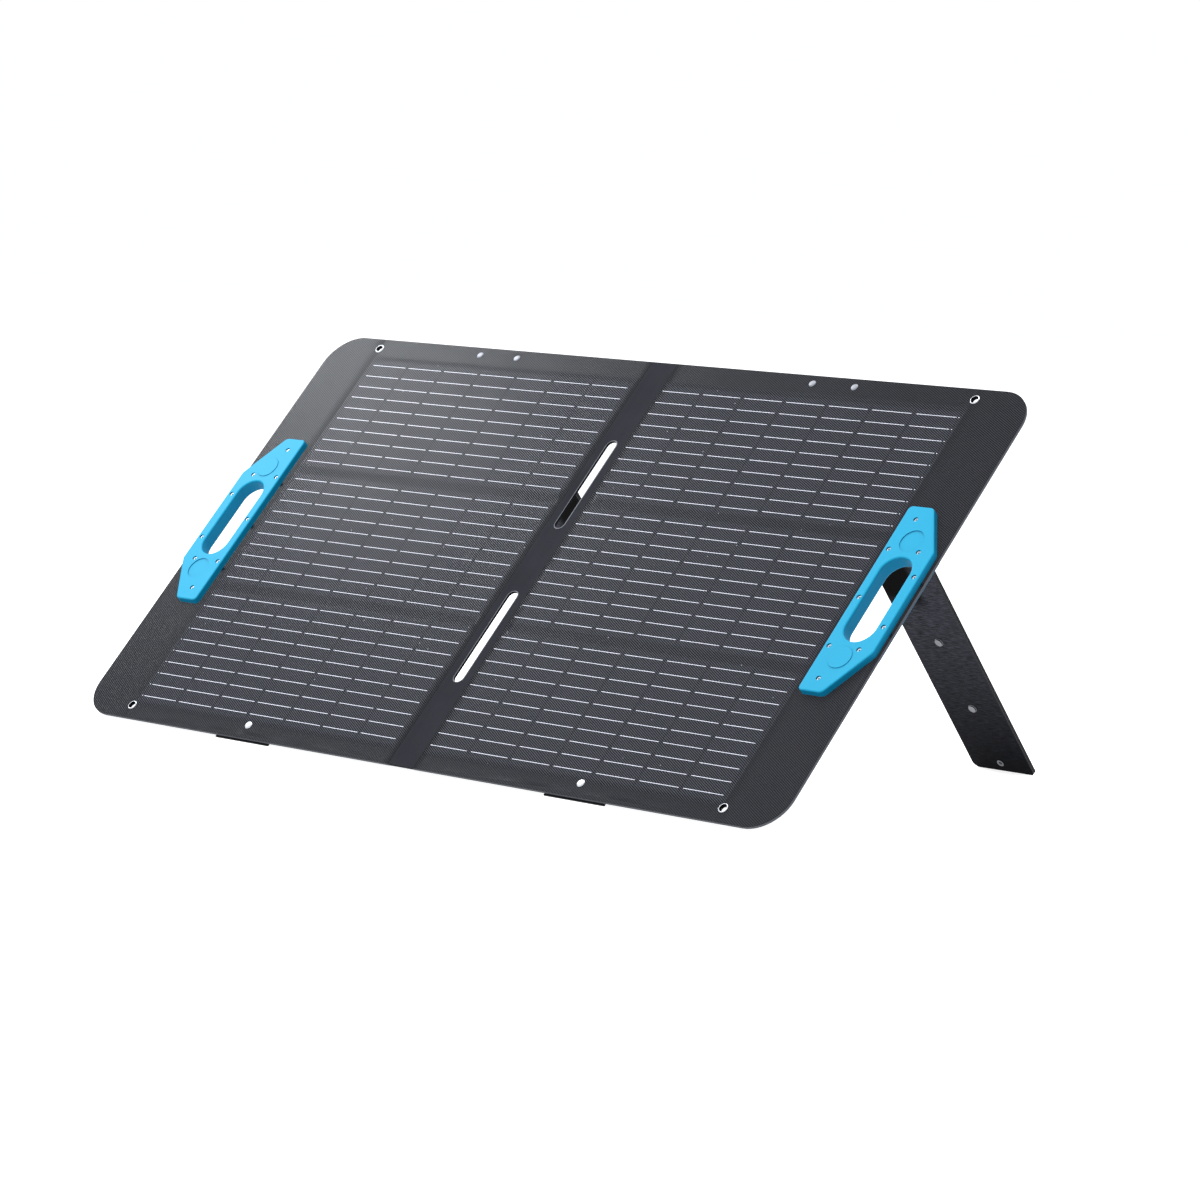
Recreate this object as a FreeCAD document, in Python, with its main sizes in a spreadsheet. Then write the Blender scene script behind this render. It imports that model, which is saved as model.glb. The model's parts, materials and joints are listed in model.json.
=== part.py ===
import FreeCAD, Part
import Sketcher
import math
import os

"""A two-part folding solar panel on two stand legs, standing as in use.

Three local frames are used.  The panel frame has x to the right, y up the slope from the bottom edge
and z out of the front face.  A leg frame has its x axis on the leg's hinge line, y up the leg and z out
of its inner face, which faces the panel's back once folded.  The world frame has z up and the ground at
zero.  Every sub-part is drawn in its local frame and set in the world by its Placement.
"""

# Driving dimensions, in millimetres and degrees.
SIZES = {
    "panel_width": 1160.0,
    "panel_height": 632.0,
    "corner_radius": 46.0,
    "tilt": 49.3,
    # Layers, as distances from the front face towards the back.
    "film_thickness": 0.4,
    "core_front": 0.8,
    "core_back": 3.4,
    "panel_thickness": 4.0,
    # Fold between the two halves.
    "fold_strip_width": 42.0,
    "fold_axis_height": 8.5,
    "fold_gap": 0.15,
    "slot_radius": 7.5,
    "slot_inner_offset": 50.0,
    "slot_outer_offset": 188.5,
    "jumper_width": 30.0,
    "jumper_offset": 240.0,
    "jumper_depth": 2.2,
    "jumper_thickness": 0.4,
    # Cells and ribbons.
    "cell_width": 61.5,
    "cell_height": 181.6,
    "cell_gap_left": 3.9,
    "cell_gap_right": 5.2,
    "row_pitch": 194.4,
    "row_middle": 311.5,
    "cell_start_left": 33.0,
    "cell_start_right": 24.5,
    "window_margin_x": 2.0,
    "window_margin_y": 1.5,
    "busbar_pitch": 18.2,
    "busbar_width": 0.9,
    "busbar_thickness": 0.1,
    "cell_thickness": 0.2,
    "connector_width": 1.4,
    # Eyelets, rivets and snaps.
    "eyelet_inset": 84.5,
    "eyelet_top": 16.0,
    "eyelet_bottom": 19.0,
    "eyelet_bore": 9.0,
    "eyelet_barrel": 10.0,
    "eyelet_flange": 12.6,
    "eyelet_lip": 0.9,
    "leg_middle": 279.5,
    "rivet_spacing": 65.5,
    "rivet_top": 12.8,
    "rivet_head": 9.6,
    "tab_rivet_head": 10.4,
    "rivet_height": 1.3,
    "rivet_shank": 3.4,
    "rivet_bottom": 19.0,
    "rivet_close": 0.6,
    "rivet_close_reach": 2.4,
    "fit_gap": 0.05,
    "snap_cap": 11.0,
    "snap_barrel": 6.0,
    "snap_bore": 4.6,
    "snap_ring": 8.0,
    "snap_flange": 10.0,
    "snap_rim": 0.3,
    "snap_ball": 3.9,
    "snap_stud_height": 2.6,
    # Bottom tab, leg and leg mount.
    "tab_width": 94.0,
    "tab_below": 2.0,
    "tab_above": 36.0,
    "tab_thickness": 2.0,
    "leg_width": 95.0,
    "leg_length": 592.0,
    "leg_thickness": 5.6,
    "leg_cover": 0.9,
    "leg_inset": 1.2,
    "leg_top_gap": 5.0,
    "leg_hinge_below_top": 48.0,
    "mount_top": 3.0,
    "leg_hinge_behind": 7.0,
    "leg_big_corner": 9.0,
    "leg_small_corner": 4.0,
    "leg_stud": 578.5,
    "leg_cap_low": 484.0,
    "leg_cap_high": 372.0,
    "leg_socket": 180.0,
    "leg_cap": 12.0,
    "leg_cap_height": 1.8,
    "hinge_cloth": 0.8,
    "hinge_cloth_reach": 24.0,
    "strap_width": 25.0,
    "strap_thickness": 1.0,
    "strap_anchor": 250.0,
    "strap_end": 12.0,
    # Handles, measured from the panel's outer edge and from its middle height.
    "handle_front": 8.0,
    "handle_rear": 5.5,
    "handle_outer": 4.0,
    "handle_inner": 76.5,
    "handle_knee": 41.0,
    "handle_half": 134.3,
    "handle_flank": 72.0,
    "handle_corner": 6.0,
    "handle_knee_radius": 9.0,
    "handle_edge": 2.0,
    "grip_outer": 20.3,
    "grip_inner": 63.3,
    "grip_half": 60.5,
    "grip_edge": 2.5,
    "collar_wall": 1.7,
    "seat_inset": 43.7,
    "seat_offset": 84.6,
    "seat_radius": 15.2,
    "seat_raised": 1.0,
    "seat_sunk": 1.3,
    "seat_clearance": 0.5,
    "seat_edge": 0.4,
    "magnet_radius": 9.0,
    "magnet_thickness": 3.0,
    "magnet_clearance": 0.1,
    "screw_shank": 3.0,
    "screw_hole": 3.1,
    "screw_head": 5.7,
    "screw_head_height": 1.8,
    "screw_well": 6.2,
    "screw_well_depth": 3.5,
    "screw_length": 13.0,
    "screw_hex": 2.5,
    "screw_hex_depth": 1.0,
    # Junction box on the back of the left half.
    "box_middle": 128.0,
    "box_height_up": 205.0,
    "box_width": 104.0,
    "box_length": 66.0,
    "box_depth": 11.0,
    "box_wall": 2.2,
    "box_corner": 6.0,
    "lid_thickness": 2.4,
    "gasket_thickness": 0.8,
    "terminal_width": 40.0,
    "terminal_length": 14.0,
    "terminal_depth": 6.0,
    "diode_radius": 2.6,
    "diode_length": 9.0,
    "diode_pitch": 22.0,
    "box_screw_inset": 6.0,
    "box_screw_shank": 2.4,
    "box_screw_head": 4.6,
    "box_screw_length": 9.0,
    "box_post": 6.0,
    "gland_radius": 4.4,
    "gland_length": 15.0,
    "gland_bore": 2.7,
    "gland_nut_radius": 5.2,
    "gland_nut_length": 4.0,
}

# Screw places on a handle: from the panel's outer edge, and from its middle height.
HANDLE_SCREWS = [
    (56.5, 115.4), (69.1, 70.5), (25.7, 70.5), (11.4, 36.1), (69.1, 0.0),
    (11.4, -36.1), (25.7, -70.5), (69.1, -70.5), (56.5, -115.4),
]
CELL_ROWS = (-1, 0, 1)
CELL_COLUMNS = 7
BUSBARS_PER_CELL = 10
SIDES = {"left": -1, "right": 1}

doc = FreeCAD.newDocument("SolarPanel")
sheet = doc.addObject("Spreadsheet::Sheet", "Sizes")
for row, (alias, size) in enumerate(SIZES.items(), 1):
    sheet.set(f"A{row}", alias)
    sheet.set(f"B{row}", str(size))
    sheet.setAlias(f"B{row}", alias)
doc.recompute()

sub_parts = []


# ---------------------------------------------------------------- values and places

def size(alias):
    """A driving dimension as a plain number."""
    return float(sheet.get(alias))


def value(expression):
    """An expression on the sheet, worked out now."""
    return float(sheet.evalExpression(expression))


def of_sizes(text):
    """Writes an expression on the driving dimensions so that every alias names its sheet."""
    words = []
    for word in text.replace("(", "( ").replace(")", " )").split():
        words.append(f"Sizes.{word}" if word in SIZES else word)
    return " ".join(words)


def across(side, text):
    """An x in the panel frame, given as a distance from the fold line."""
    return f"{SIDES[side]} * ( {text} )"


def from_outer_edge(side, text):
    """An x in the panel frame, given as a distance in from the outer edge of one half."""
    return across(side, f"panel_width / 2 - ( {text} )")


tilt = size("tilt")
rest_depth = -(size("panel_thickness") + size("tab_thickness"))
rest_y = -size("tab_below")
sin_tilt = math.sin(math.radians(tilt))
cos_tilt = math.cos(math.radians(tilt))


def tilted(y, z):
    """World Y and Z of a panel point before the panel is set on the ground."""
    return y * cos_tilt - z * sin_tilt, y * sin_tilt + z * cos_tilt


ground = tilted(rest_y, rest_depth)[1]
hinge_y = size("panel_height") - size("leg_hinge_below_top")
hinge_z = -size("leg_hinge_behind")
hinge_world = tilted(hinge_y, hinge_z)
leg_slope = 180.0 - math.degrees(math.asin((hinge_world[1] - ground) / size("leg_length")))
leg_opening = leg_slope - tilt
foot_back = hinge_world[0] - size("leg_length") * math.cos(math.radians(leg_slope))
foot_back += size("leg_thickness") * math.sin(math.radians(leg_slope))
middle = foot_back / 2.0

X_AXIS = FreeCAD.Vector(1, 0, 0)
Y_AXIS = FreeCAD.Vector(0, 1, 0)
Z_AXIS = FreeCAD.Vector(0, 0, 1)
PANEL = FreeCAD.Placement(FreeCAD.Vector(0, -middle, -ground), FreeCAD.Rotation(X_AXIS, tilt))
LEG = FreeCAD.Placement(
    FreeCAD.Vector(0, hinge_world[0] - middle, hinge_world[1] - ground),
    FreeCAD.Rotation(X_AXIS, leg_slope),
)


# ---------------------------------------------------------------- sketching

def new_body(label, place):
    body = doc.addObject("PartDesign::Body", label)
    body.Label = label
    sub_parts.append(body)
    body.Placement = place
    return body


def new_sketch(body, name, height):
    """A sketch parallel to the body's own XY plane, at a height given as an expression."""
    sketch = body.newObject("Sketcher::SketchObject", name)
    plane = next(item for item in body.Origin.OriginFeatures if item.Role == "XY_Plane")
    sketch.AttachmentSupport = (plane, [""])
    sketch.MapMode = "FlatFace"
    sketch.setExpression("AttachmentOffset.Base.z", of_sizes(height))
    return sketch


def bind(sketch, kind, *where_and_text):
    """Adds a dimension to a sketch and ties it to the sheet."""
    where = where_and_text[:-1]
    text = of_sizes(where_and_text[-1])
    index = sketch.addConstraint(Sketcher.Constraint(kind, *where, value(text)))
    sketch.setExpression(f"Constraints[{index}]", text)


def pin(sketch, geometry, vertex, x, y):
    """Ties one point of a sketch to an x and a y."""
    bind(sketch, "DistanceX", -1, 1, geometry, vertex, x)
    bind(sketch, "DistanceY", -1, 1, geometry, vertex, y)


def at(x, y):
    return FreeCAD.Vector(value(of_sizes(x)), value(of_sizes(y)), 0)


def polygon(sketch, corners):
    """A closed outline through corners, each a pair of expressions."""
    first = sketch.GeometryCount
    points = [at(x, y) for x, y in corners]
    for start, end in zip(points, points[1:] + points[:1]):
        sketch.addGeometry(Part.LineSegment(start, end))
    for index, (x, y) in enumerate(corners):
        line = first + index
        previous = first + (index - 1) % len(corners)
        sketch.addConstraint(Sketcher.Constraint("Coincident", previous, 2, line, 1))
        pin(sketch, line, 1, x, y)


def rectangle(sketch, x_low, x_high, y_low, y_high):
    polygon(sketch, [(x_low, y_low), (x_high, y_low), (x_high, y_high), (x_low, y_high)])


def circle(sketch, x, y, radius):
    index = sketch.addGeometry(Part.Circle(at(x, y), Z_AXIS, value(of_sizes(radius))))
    pin(sketch, index, 3, x, y)
    bind(sketch, "Radius", index, radius)


def stadium(sketch, x, y_low, y_high, radius):
    """A slot with full-round ends, given by the centres and radius of its ends."""
    reach = value(of_sizes(radius))
    low = at(x, y_low)
    high = at(x, y_high)
    out = FreeCAD.Vector(reach, 0, 0)
    top = sketch.addGeometry(Part.ArcOfCircle(Part.Circle(high, Z_AXIS, reach), 0, math.pi))
    left = sketch.addGeometry(Part.LineSegment(high - out, low - out))
    bottom = sketch.addGeometry(Part.ArcOfCircle(Part.Circle(low, Z_AXIS, reach), math.pi, 2 * math.pi))
    right = sketch.addGeometry(Part.LineSegment(low + out, high + out))
    ring = [top, left, bottom, right]
    for one, other in zip(ring, ring[1:] + ring[:1]):
        sketch.addConstraint(Sketcher.Constraint("Tangent", one, 2, other, 1))
    pin(sketch, top, 3, x, y_high)
    pin(sketch, bottom, 3, x, y_low)
    bind(sketch, "Radius", top, radius)
    bind(sketch, "Radius", bottom, radius)


# ---------------------------------------------------------------- features

def pad(body, sketch, length, downwards=False):
    feature = body.newObject("PartDesign::Pad", f"{sketch.Name}_pad")
    feature.Profile = sketch
    feature.Reversed = downwards
    feature.setExpression("Length", of_sizes(length))
    sketch.Visibility = False
    return feature


def pocket(body, sketch, depth, upwards=False):
    """Cuts a sketch into the body and makes sure that something was removed."""
    doc.recompute()
    before = body.Shape.Volume
    feature = body.newObject("PartDesign::Pocket", f"{sketch.Name}_pocket")
    feature.Profile = sketch
    feature.Reversed = upwards
    feature.setExpression("Length", of_sizes(depth))
    doc.recompute()
    if body.Shape.Volume >= before:
        raise RuntimeError(f"{feature.Name} removes nothing")
    return feature


def fillet(body, name, radius, chosen):
    """Rounds the edges of the body's tip for which chosen(edge) is true."""
    doc.recompute()
    base = body.Tip
    names = [f"Edge{number}" for number, edge in enumerate(base.Shape.Edges, 1) if chosen(edge)]
    if not names:
        raise RuntimeError(f"{name} finds no edge")
    feature = body.newObject("PartDesign::Fillet", name)
    feature.Base = (base, names)
    feature.setExpression("Radius", of_sizes(radius))
    doc.recompute()
    return feature


def upright_at(*places):
    """Chooses straight edges along z that stand at one of the given x, y places."""
    points = [at(x, y) for x, y in places]

    def chosen(edge):
        start = edge.Vertexes[0].Point
        end = edge.Vertexes[-1].Point
        if math.hypot(start.x - end.x, start.y - end.y) > 1e-6 or abs(start.z - end.z) < 1e-6:
            return False
        return any(math.hypot(start.x - p.x, start.y - p.y) < 1e-3 for p in points)
    return chosen


def loop_at(height, x_reach=None, x_centre=0.0, y_centre=0.0, y_reach=None, outside=False):
    """Chooses edges that lie at one height, within (or outside) a box about a centre."""
    level = value(of_sizes(height))

    def chosen(edge):
        box = edge.BoundBox
        if abs(box.ZMin - level) > 1e-3 or abs(box.ZMax - level) > 1e-3:
            return False
        if x_reach is None:
            return True
        centre = box.Center
        inside = abs(centre.x - x_centre) <= x_reach and abs(centre.y - y_centre) <= y_reach
        return inside != outside
    return chosen


def set_part(label, shape, place):
    """A sub-part whose shape is made here: groups of like solids and bent strips."""
    feature = doc.addObject("Part::Feature", label)
    feature.Label = label
    feature.Shape = shape
    feature.Placement = place
    sub_parts.append(feature)
    return feature


def turned(profile, centre):
    """A solid of revolution about z through centre, from (radius, z) pairs."""
    axis = FreeCAD.Vector(centre[0], centre[1], 0)
    points = [axis + FreeCAD.Vector(radius, 0, height) for radius, height in profile]
    face = Part.Face(Part.makePolygon(points + points[:1]))
    return face.revolve(axis, Z_AXIS, 360)


def centred_box(x, y, z_low, width, length, height):
    corner = FreeCAD.Vector(x - width / 2, y - length / 2, z_low)
    return Part.makeBox(width, length, height, corner)


def bent_strip(points, thickness, x_middle, width):
    """A flat strip of constant thickness along a path of (y, z) points, extruded across x."""
    path = [FreeCAD.Vector(x_middle - width / 2, y, z) for y, z in points]
    normals = []
    for start, end in zip(path, path[1:]):
        run = (end - start).normalize()
        normals.append(FreeCAD.Vector(0, -run.z, run.y))
    offsets = []
    for index in range(len(path)):
        before = normals[max(index - 1, 0)]
        after = normals[min(index, len(normals) - 1)]
        mitre = (before + after).normalize()
        offsets.append(mitre * (thickness / 2 / mitre.dot(after)))
    outline = [point + offset for point, offset in zip(path, offsets)]
    outline += [point - offset for point, offset in reversed(list(zip(path, offsets)))]
    face = Part.Face(Part.makePolygon(outline + outline[:1]))
    return face.extrude(FreeCAD.Vector(width, 0, 0))


# ---------------------------------------------------------------- layers of one half

def half_outline(sketch, side):
    """Outline of one half: square at the fold, to be rounded at the outer corners."""
    inner = across(side, "fold_strip_width / 2")
    outer = across(side, "panel_width / 2")
    rectangle(sketch, inner, outer, "0", "panel_height")


def grip_hole(sketch, side, wall="0"):
    """The hand hole of a handle, enlarged all round by wall."""
    middle_x = from_outer_edge(side, "( grip_outer + grip_inner ) / 2")
    half = "( grip_half - ( grip_inner - grip_outer ) / 2 )"
    radius = f"( grip_inner - grip_outer ) / 2 + {wall}"
    stadium(sketch, middle_x, f"panel_height / 2 - {half}", f"panel_height / 2 + {half}", radius)


def handle_screw_places(side):
    for inset, rise in HANDLE_SCREWS:
        yield from_outer_edge(side, str(inset)), f"panel_height / 2 + {rise}"


def eyelet_places(side):
    return [
        (from_outer_edge(side, "eyelet_inset"), "panel_height - eyelet_top"),
        (from_outer_edge(side, "eyelet_inset"), "eyelet_bottom"),
    ]


def rivet_places(side):
    return [
        (across(side, f"leg_middle {sign} rivet_spacing / 2"), "panel_height - rivet_top")
        for sign in ("-", "+")
    ]


def bottom_rivet_place(side):
    return across(side, "leg_middle"), "rivet_bottom"


def tab_socket_place(side):
    """Where the leg's stud meets the bottom tab once the leg is folded."""
    return across(side, "leg_middle"), "panel_height - leg_hinge_below_top - leg_stud"


def anchor_place(side):
    return across(side, "leg_middle"), "panel_height - strap_anchor"


def layer_holes(sketch, side):
    """The holes that pass through every layer of a half."""
    grip_hole(sketch, side, "collar_wall")
    for x, y in handle_screw_places(side):
        circle(sketch, x, y, "screw_hole / 2")
    for x, y in eyelet_places(side):
        circle(sketch, x, y, "eyelet_barrel / 2 + fit_gap")
    for x, y in rivet_places(side):
        circle(sketch, x, y, "rivet_shank / 2 + fit_gap")
    circle(sketch, *bottom_rivet_place(side), "rivet_shank / 2 + fit_gap")


def layer(side, label, back, thickness, window=None, anchored=False):
    """One full-size layer of a half, its back face that far behind the front face."""
    body = new_body(f"{side}_{label}", PANEL)
    sketch = new_sketch(body, f"{side}_{label}_outline", f"0 - {back}")
    half_outline(sketch, side)
    layer_holes(sketch, side)
    if window:
        rectangle(sketch, *window)
    if anchored:
        circle(sketch, *anchor_place(side), "rivet_shank / 2 + fit_gap")
    pad(body, sketch, thickness)
    outer = across(side, "panel_width / 2")
    corners = upright_at((outer, "0"), (outer, "panel_height"))
    fillet(body, f"{side}_{label}_corners", "corner_radius", corners)
    return body


def cell_block(side):
    """Inner and outer x of the cells, as distances from the fold line."""
    start = f"cell_start_{side}"
    length = f"{CELL_COLUMNS} * cell_width + {CELL_COLUMNS - 1} * cell_gap_{side}"
    return start, f"{start} + {length}"


def cell_window(side):
    start, end = cell_block(side)
    half = "( row_pitch + cell_height / 2 + window_margin_y )"
    inner = across(side, f"{start} - window_margin_x")
    outer = across(side, f"{end} + window_margin_x")
    return inner, outer, f"row_middle - {half}", f"row_middle + {half}"


def cells(side):
    """All cells of a half, lying on the core board."""
    solids = []
    base = -size("core_front")
    start = size(f"cell_start_{side}")
    pitch = size("cell_width") + size(f"cell_gap_{side}")
    for row in CELL_ROWS:
        y = size("row_middle") + row * size("row_pitch")
        for column in range(CELL_COLUMNS):
            x = start + column * pitch + size("cell_width") / 2
            solids.append(centred_box(
                SIDES[side] * x, y, base, size("cell_width"), size("cell_height"), size("cell_thickness")))
    set_part(f"{side}_cells", Part.makeCompound(solids), PANEL)


def busbar_heights():
    """Heights above the bottom edge of every busbar line, from bottom to top."""
    for row in CELL_ROWS:
        y = size("row_middle") + row * size("row_pitch")
        for line in range(BUSBARS_PER_CELL):
            yield y + (line - (BUSBARS_PER_CELL - 1) / 2) * size("busbar_pitch")


def ribbons(side):
    """The busbar ribbons of a half, on top of its cells, and the connectors at their ends."""
    start, end = (value(of_sizes(text)) for text in cell_block(side))
    base = -size("core_front") + size("cell_thickness")
    lines = []
    for y in busbar_heights():
        lines.append(centred_box(
            SIDES[side] * (start + end) / 2, y, base,
            end - start, size("busbar_width"), size("busbar_thickness")))
    set_part(f"{side}_busbar_ribbons", Part.makeCompound(lines), PANEL)
    bars = []
    reach = (BUSBARS_PER_CELL - 1) * size("busbar_pitch") + size("busbar_width")
    for row in CELL_ROWS:
        y = size("row_middle") + row * size("row_pitch")
        x = SIDES[side] * (end + size("connector_width") / 2)
        bars.append(centred_box(x, y, base, size("connector_width"), reach, size("busbar_thickness")))
    set_part(f"{side}_cross_connectors", Part.makeCompound(bars), PANEL)


# ---------------------------------------------------------------- fasteners through a half

def places(pairs):
    """Turns places given as expressions into numbers."""
    return [(value(of_sizes(x)), value(of_sizes(y))) for x, y in pairs]


def eyelets(side):
    """Rolled metal eyelets, each crimped into one piece round the layers."""
    bore = size("eyelet_bore") / 2
    barrel = size("eyelet_barrel") / 2
    flange = size("eyelet_flange") / 2
    lip = size("eyelet_lip")
    back = -size("panel_thickness")
    profile = [
        (bore, back - lip * 0.5), (barrel, back - lip), (flange - 0.6, back - lip * 0.8), (flange, back),
        (barrel, back), (barrel, 0), (flange, 0), (flange - 0.6, lip * 0.8), (barrel, lip),
        (bore, lip * 0.5),
    ]
    solids = [turned(profile, place) for place in places(eyelet_places(side))]
    set_part(f"{side}_eyelets", Part.makeCompound(solids), PANEL)


def rivet_profile(head_width):
    """A low domed head on the front face, a shank, and a flat closing head behind the rear plate."""
    head = size(head_width) / 2
    shank = size("rivet_shank") / 2
    height = size("rivet_height")
    close = shank + size("rivet_close_reach")
    return [
        (0, rest_depth - size("rivet_close")), (close - 0.4, rest_depth - size("rivet_close")),
        (close, rest_depth), (shank, rest_depth), (shank, 0), (head, 0), (head - 0.2, height * 0.35),
        (head * 0.72, height * 0.85), (head * 0.5, height), (0, height),
    ]


def top_rivets(side):
    """Rivets that hold the leg mount behind the top edge."""
    solids = [turned(rivet_profile("rivet_head"), place) for place in places(rivet_places(side))]
    set_part(f"{side}_top_rivets", Part.makeCompound(solids), PANEL)


def bottom_snap(side):
    """The rivet of the bottom tab, and the socket in the tab that takes the stud of the folded leg."""
    ring = size("snap_ring") / 2
    bore = size("snap_bore") / 2
    flange = size("snap_flange") / 2
    front = -size("panel_thickness") - size("fit_gap")
    back = rest_depth - size("snap_rim")
    socket = [
        (bore, front), (ring, front), (ring, rest_depth), (flange, rest_depth), (flange - 0.2, back),
        (bore, back),
    ]
    solids = [
        turned(rivet_profile("tab_rivet_head"), places([bottom_rivet_place(side)])[0]),
        turned(socket, places([tab_socket_place(side)])[0]),
    ]
    set_part(f"{side}_bottom_snap", Part.makeCompound(solids), PANEL)


def strap_anchor(side):
    """The rivet that holds the angle strap to the back of a half, set flush in the core board."""
    shank = size("rivet_shank") / 2
    back = -size("panel_thickness")
    strap = size("strap_thickness")
    profile = [
        (0, -size("core_front")), (shank, -size("core_front")), (shank, back - strap),
        (shank + 2.5, back - strap), (shank + 2.2, back - strap - 0.9), (0, back - strap - 0.9),
    ]
    set_part(f"{side}_strap_anchor", turned(profile, places([anchor_place(side)])[0]), PANEL)


# ---------------------------------------------------------------- pieces behind a half

def bottom_tab(side):
    """A stiff tab behind the bottom edge; it reaches below the edge and the panel stands on it."""
    body = new_body(f"{side}_bottom_tab", PANEL)
    sketch = new_sketch(body, f"{side}_tab_outline", "0 - panel_thickness - tab_thickness")
    low = across(side, "leg_middle - tab_width / 2")
    high = across(side, "leg_middle + tab_width / 2")
    rectangle(sketch, low, high, "0 - tab_below", "tab_above")
    circle(sketch, *bottom_rivet_place(side), "rivet_shank / 2 + fit_gap")
    circle(sketch, *tab_socket_place(side), "snap_ring / 2 + fit_gap")
    pad(body, sketch, "tab_thickness")
    corners = upright_at((low, "tab_above"), (high, "tab_above"))
    fillet(body, f"{side}_tab_corners", "leg_small_corner", corners)


def leg_mount(side):
    """The plate behind the top edge that the leg hangs from."""
    body = new_body(f"{side}_leg_mount", PANEL)
    sketch = new_sketch(body, f"{side}_mount_outline", "0 - panel_thickness - tab_thickness")
    low = across(side, "leg_middle - leg_width / 2")
    high = across(side, "leg_middle + leg_width / 2")
    bottom = "panel_height - leg_hinge_below_top + leg_top_gap"
    top = "panel_height - mount_top"
    rectangle(sketch, low, high, bottom, top)
    for x, y in rivet_places(side):
        circle(sketch, x, y, "rivet_shank / 2 + fit_gap")
    pad(body, sketch, "tab_thickness")
    fillet(body, f"{side}_mount_corners", "leg_small_corner", upright_at((low, top), (high, top)))


def on_leg(distance, above_face):
    """Panel y and z of a point on a leg, given down the leg and out of its inner face."""
    turn = math.radians(leg_opening)
    y = hinge_y - distance * math.cos(turn) - above_face * math.sin(turn)
    z = hinge_z - distance * math.sin(turn) + above_face * math.cos(turn)
    return y, z


def leg_hinge_cloth(side):
    """The cloth that joins the mount plate to the inner face of the leg."""
    cloth = size("hinge_cloth")
    reach = size("hinge_cloth_reach")
    behind_mount = rest_depth - cloth / 2
    start = (hinge_y + reach - 6.0, behind_mount)
    end = on_leg(reach, cloth / 2)
    direction = on_leg(0.0, cloth / 2)
    share = (behind_mount - direction[1]) / (end[1] - direction[1])
    corner = (direction[0] + share * (end[0] - direction[0]), behind_mount)
    strip = bent_strip(
        [start, corner, end], cloth, SIDES[side] * size("leg_middle"), size("leg_width") - 4.0)
    set_part(f"{side}_leg_hinge_cloth", strip, PANEL)


def angle_strap(side):
    """Webbing from the back of a half to the leg, which sets how far the leg opens."""
    thickness = size("strap_thickness")
    end = size("strap_end")
    back = -size("panel_thickness") - thickness / 2
    anchor_y = size("panel_height") - size("strap_anchor")
    socket = size("leg_socket")
    path = [
        (anchor_y - end, back), (anchor_y + end, back),
        on_leg(socket - end, thickness / 2 + 0.05), on_leg(socket + end, thickness / 2 + 0.05),
    ]
    x = SIDES[side] * size("leg_middle")
    strip = bent_strip(path, thickness, x, size("strap_width"))
    radius = size("rivet_shank") / 2 + size("fit_gap")
    hole = Part.makeCylinder(radius, 4, FreeCAD.Vector(x, anchor_y, back - 2), Z_AXIS)
    leg_hole = Part.makeCylinder(size("snap_ball") / 2 + 0.1, 4, FreeCAD.Vector(x, 0, -2), Z_AXIS)
    leg_hole.Placement = FreeCAD.Placement(
        FreeCAD.Vector(0, *on_leg(socket, 0.0)), FreeCAD.Rotation(X_AXIS, leg_opening)
    ).multiply(leg_hole.Placement)
    set_part(f"{side}_angle_strap", strip.cut(hole).cut(leg_hole), PANEL)


# ---------------------------------------------------------------- handles

def handle_outline(sketch, side):
    """The eight-sided outline shared by both shells of a handle."""
    inset_and_rise = [
        ("handle_inner", "0 - handle_half"), ("handle_knee", "0 - handle_half"),
        ("handle_outer", "0 - handle_flank"), ("handle_outer", "handle_flank"),
        ("handle_knee", "handle_half"), ("handle_inner", "handle_half"),
    ]
    corners = [
        (from_outer_edge(side, inset), f"panel_height / 2 + {rise}") for inset, rise in inset_and_rise
    ]
    polygon(sketch, corners)
    return corners


def round_handle(body, side, name, corners, far_face):
    """Rounds the corners, the grip and the far face of a handle shell."""
    ends = [corners[0], corners[5]]
    knees = [corners[1], corners[2], corners[3], corners[4]]
    fillet(body, f"{side}_{name}_ends", "handle_corner", upright_at(*ends))
    fillet(body, f"{side}_{name}_knees", "handle_knee_radius", upright_at(*knees))
    grip_x = value(of_sizes(from_outer_edge(side, "( grip_outer + grip_inner ) / 2")))
    grip = dict(x_reach=22.5, x_centre=grip_x, y_centre=size("panel_height") / 2, y_reach=62.0)
    fillet(body, f"{side}_{name}_rim", "handle_edge", loop_at(far_face, outside=True, **grip))
    fillet(body, f"{side}_{name}_grip", "grip_edge", loop_at(far_face, **grip))


def seat_places(side):
    """Round seats of a handle: raised above and sunk below on the left, the other way on the right."""
    x = from_outer_edge(side, "seat_inset")
    upper = (x, "panel_height / 2 + seat_offset")
    lower = (x, "panel_height / 2 - seat_offset")
    return (upper, lower) if side == "left" else (lower, upper)


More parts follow.
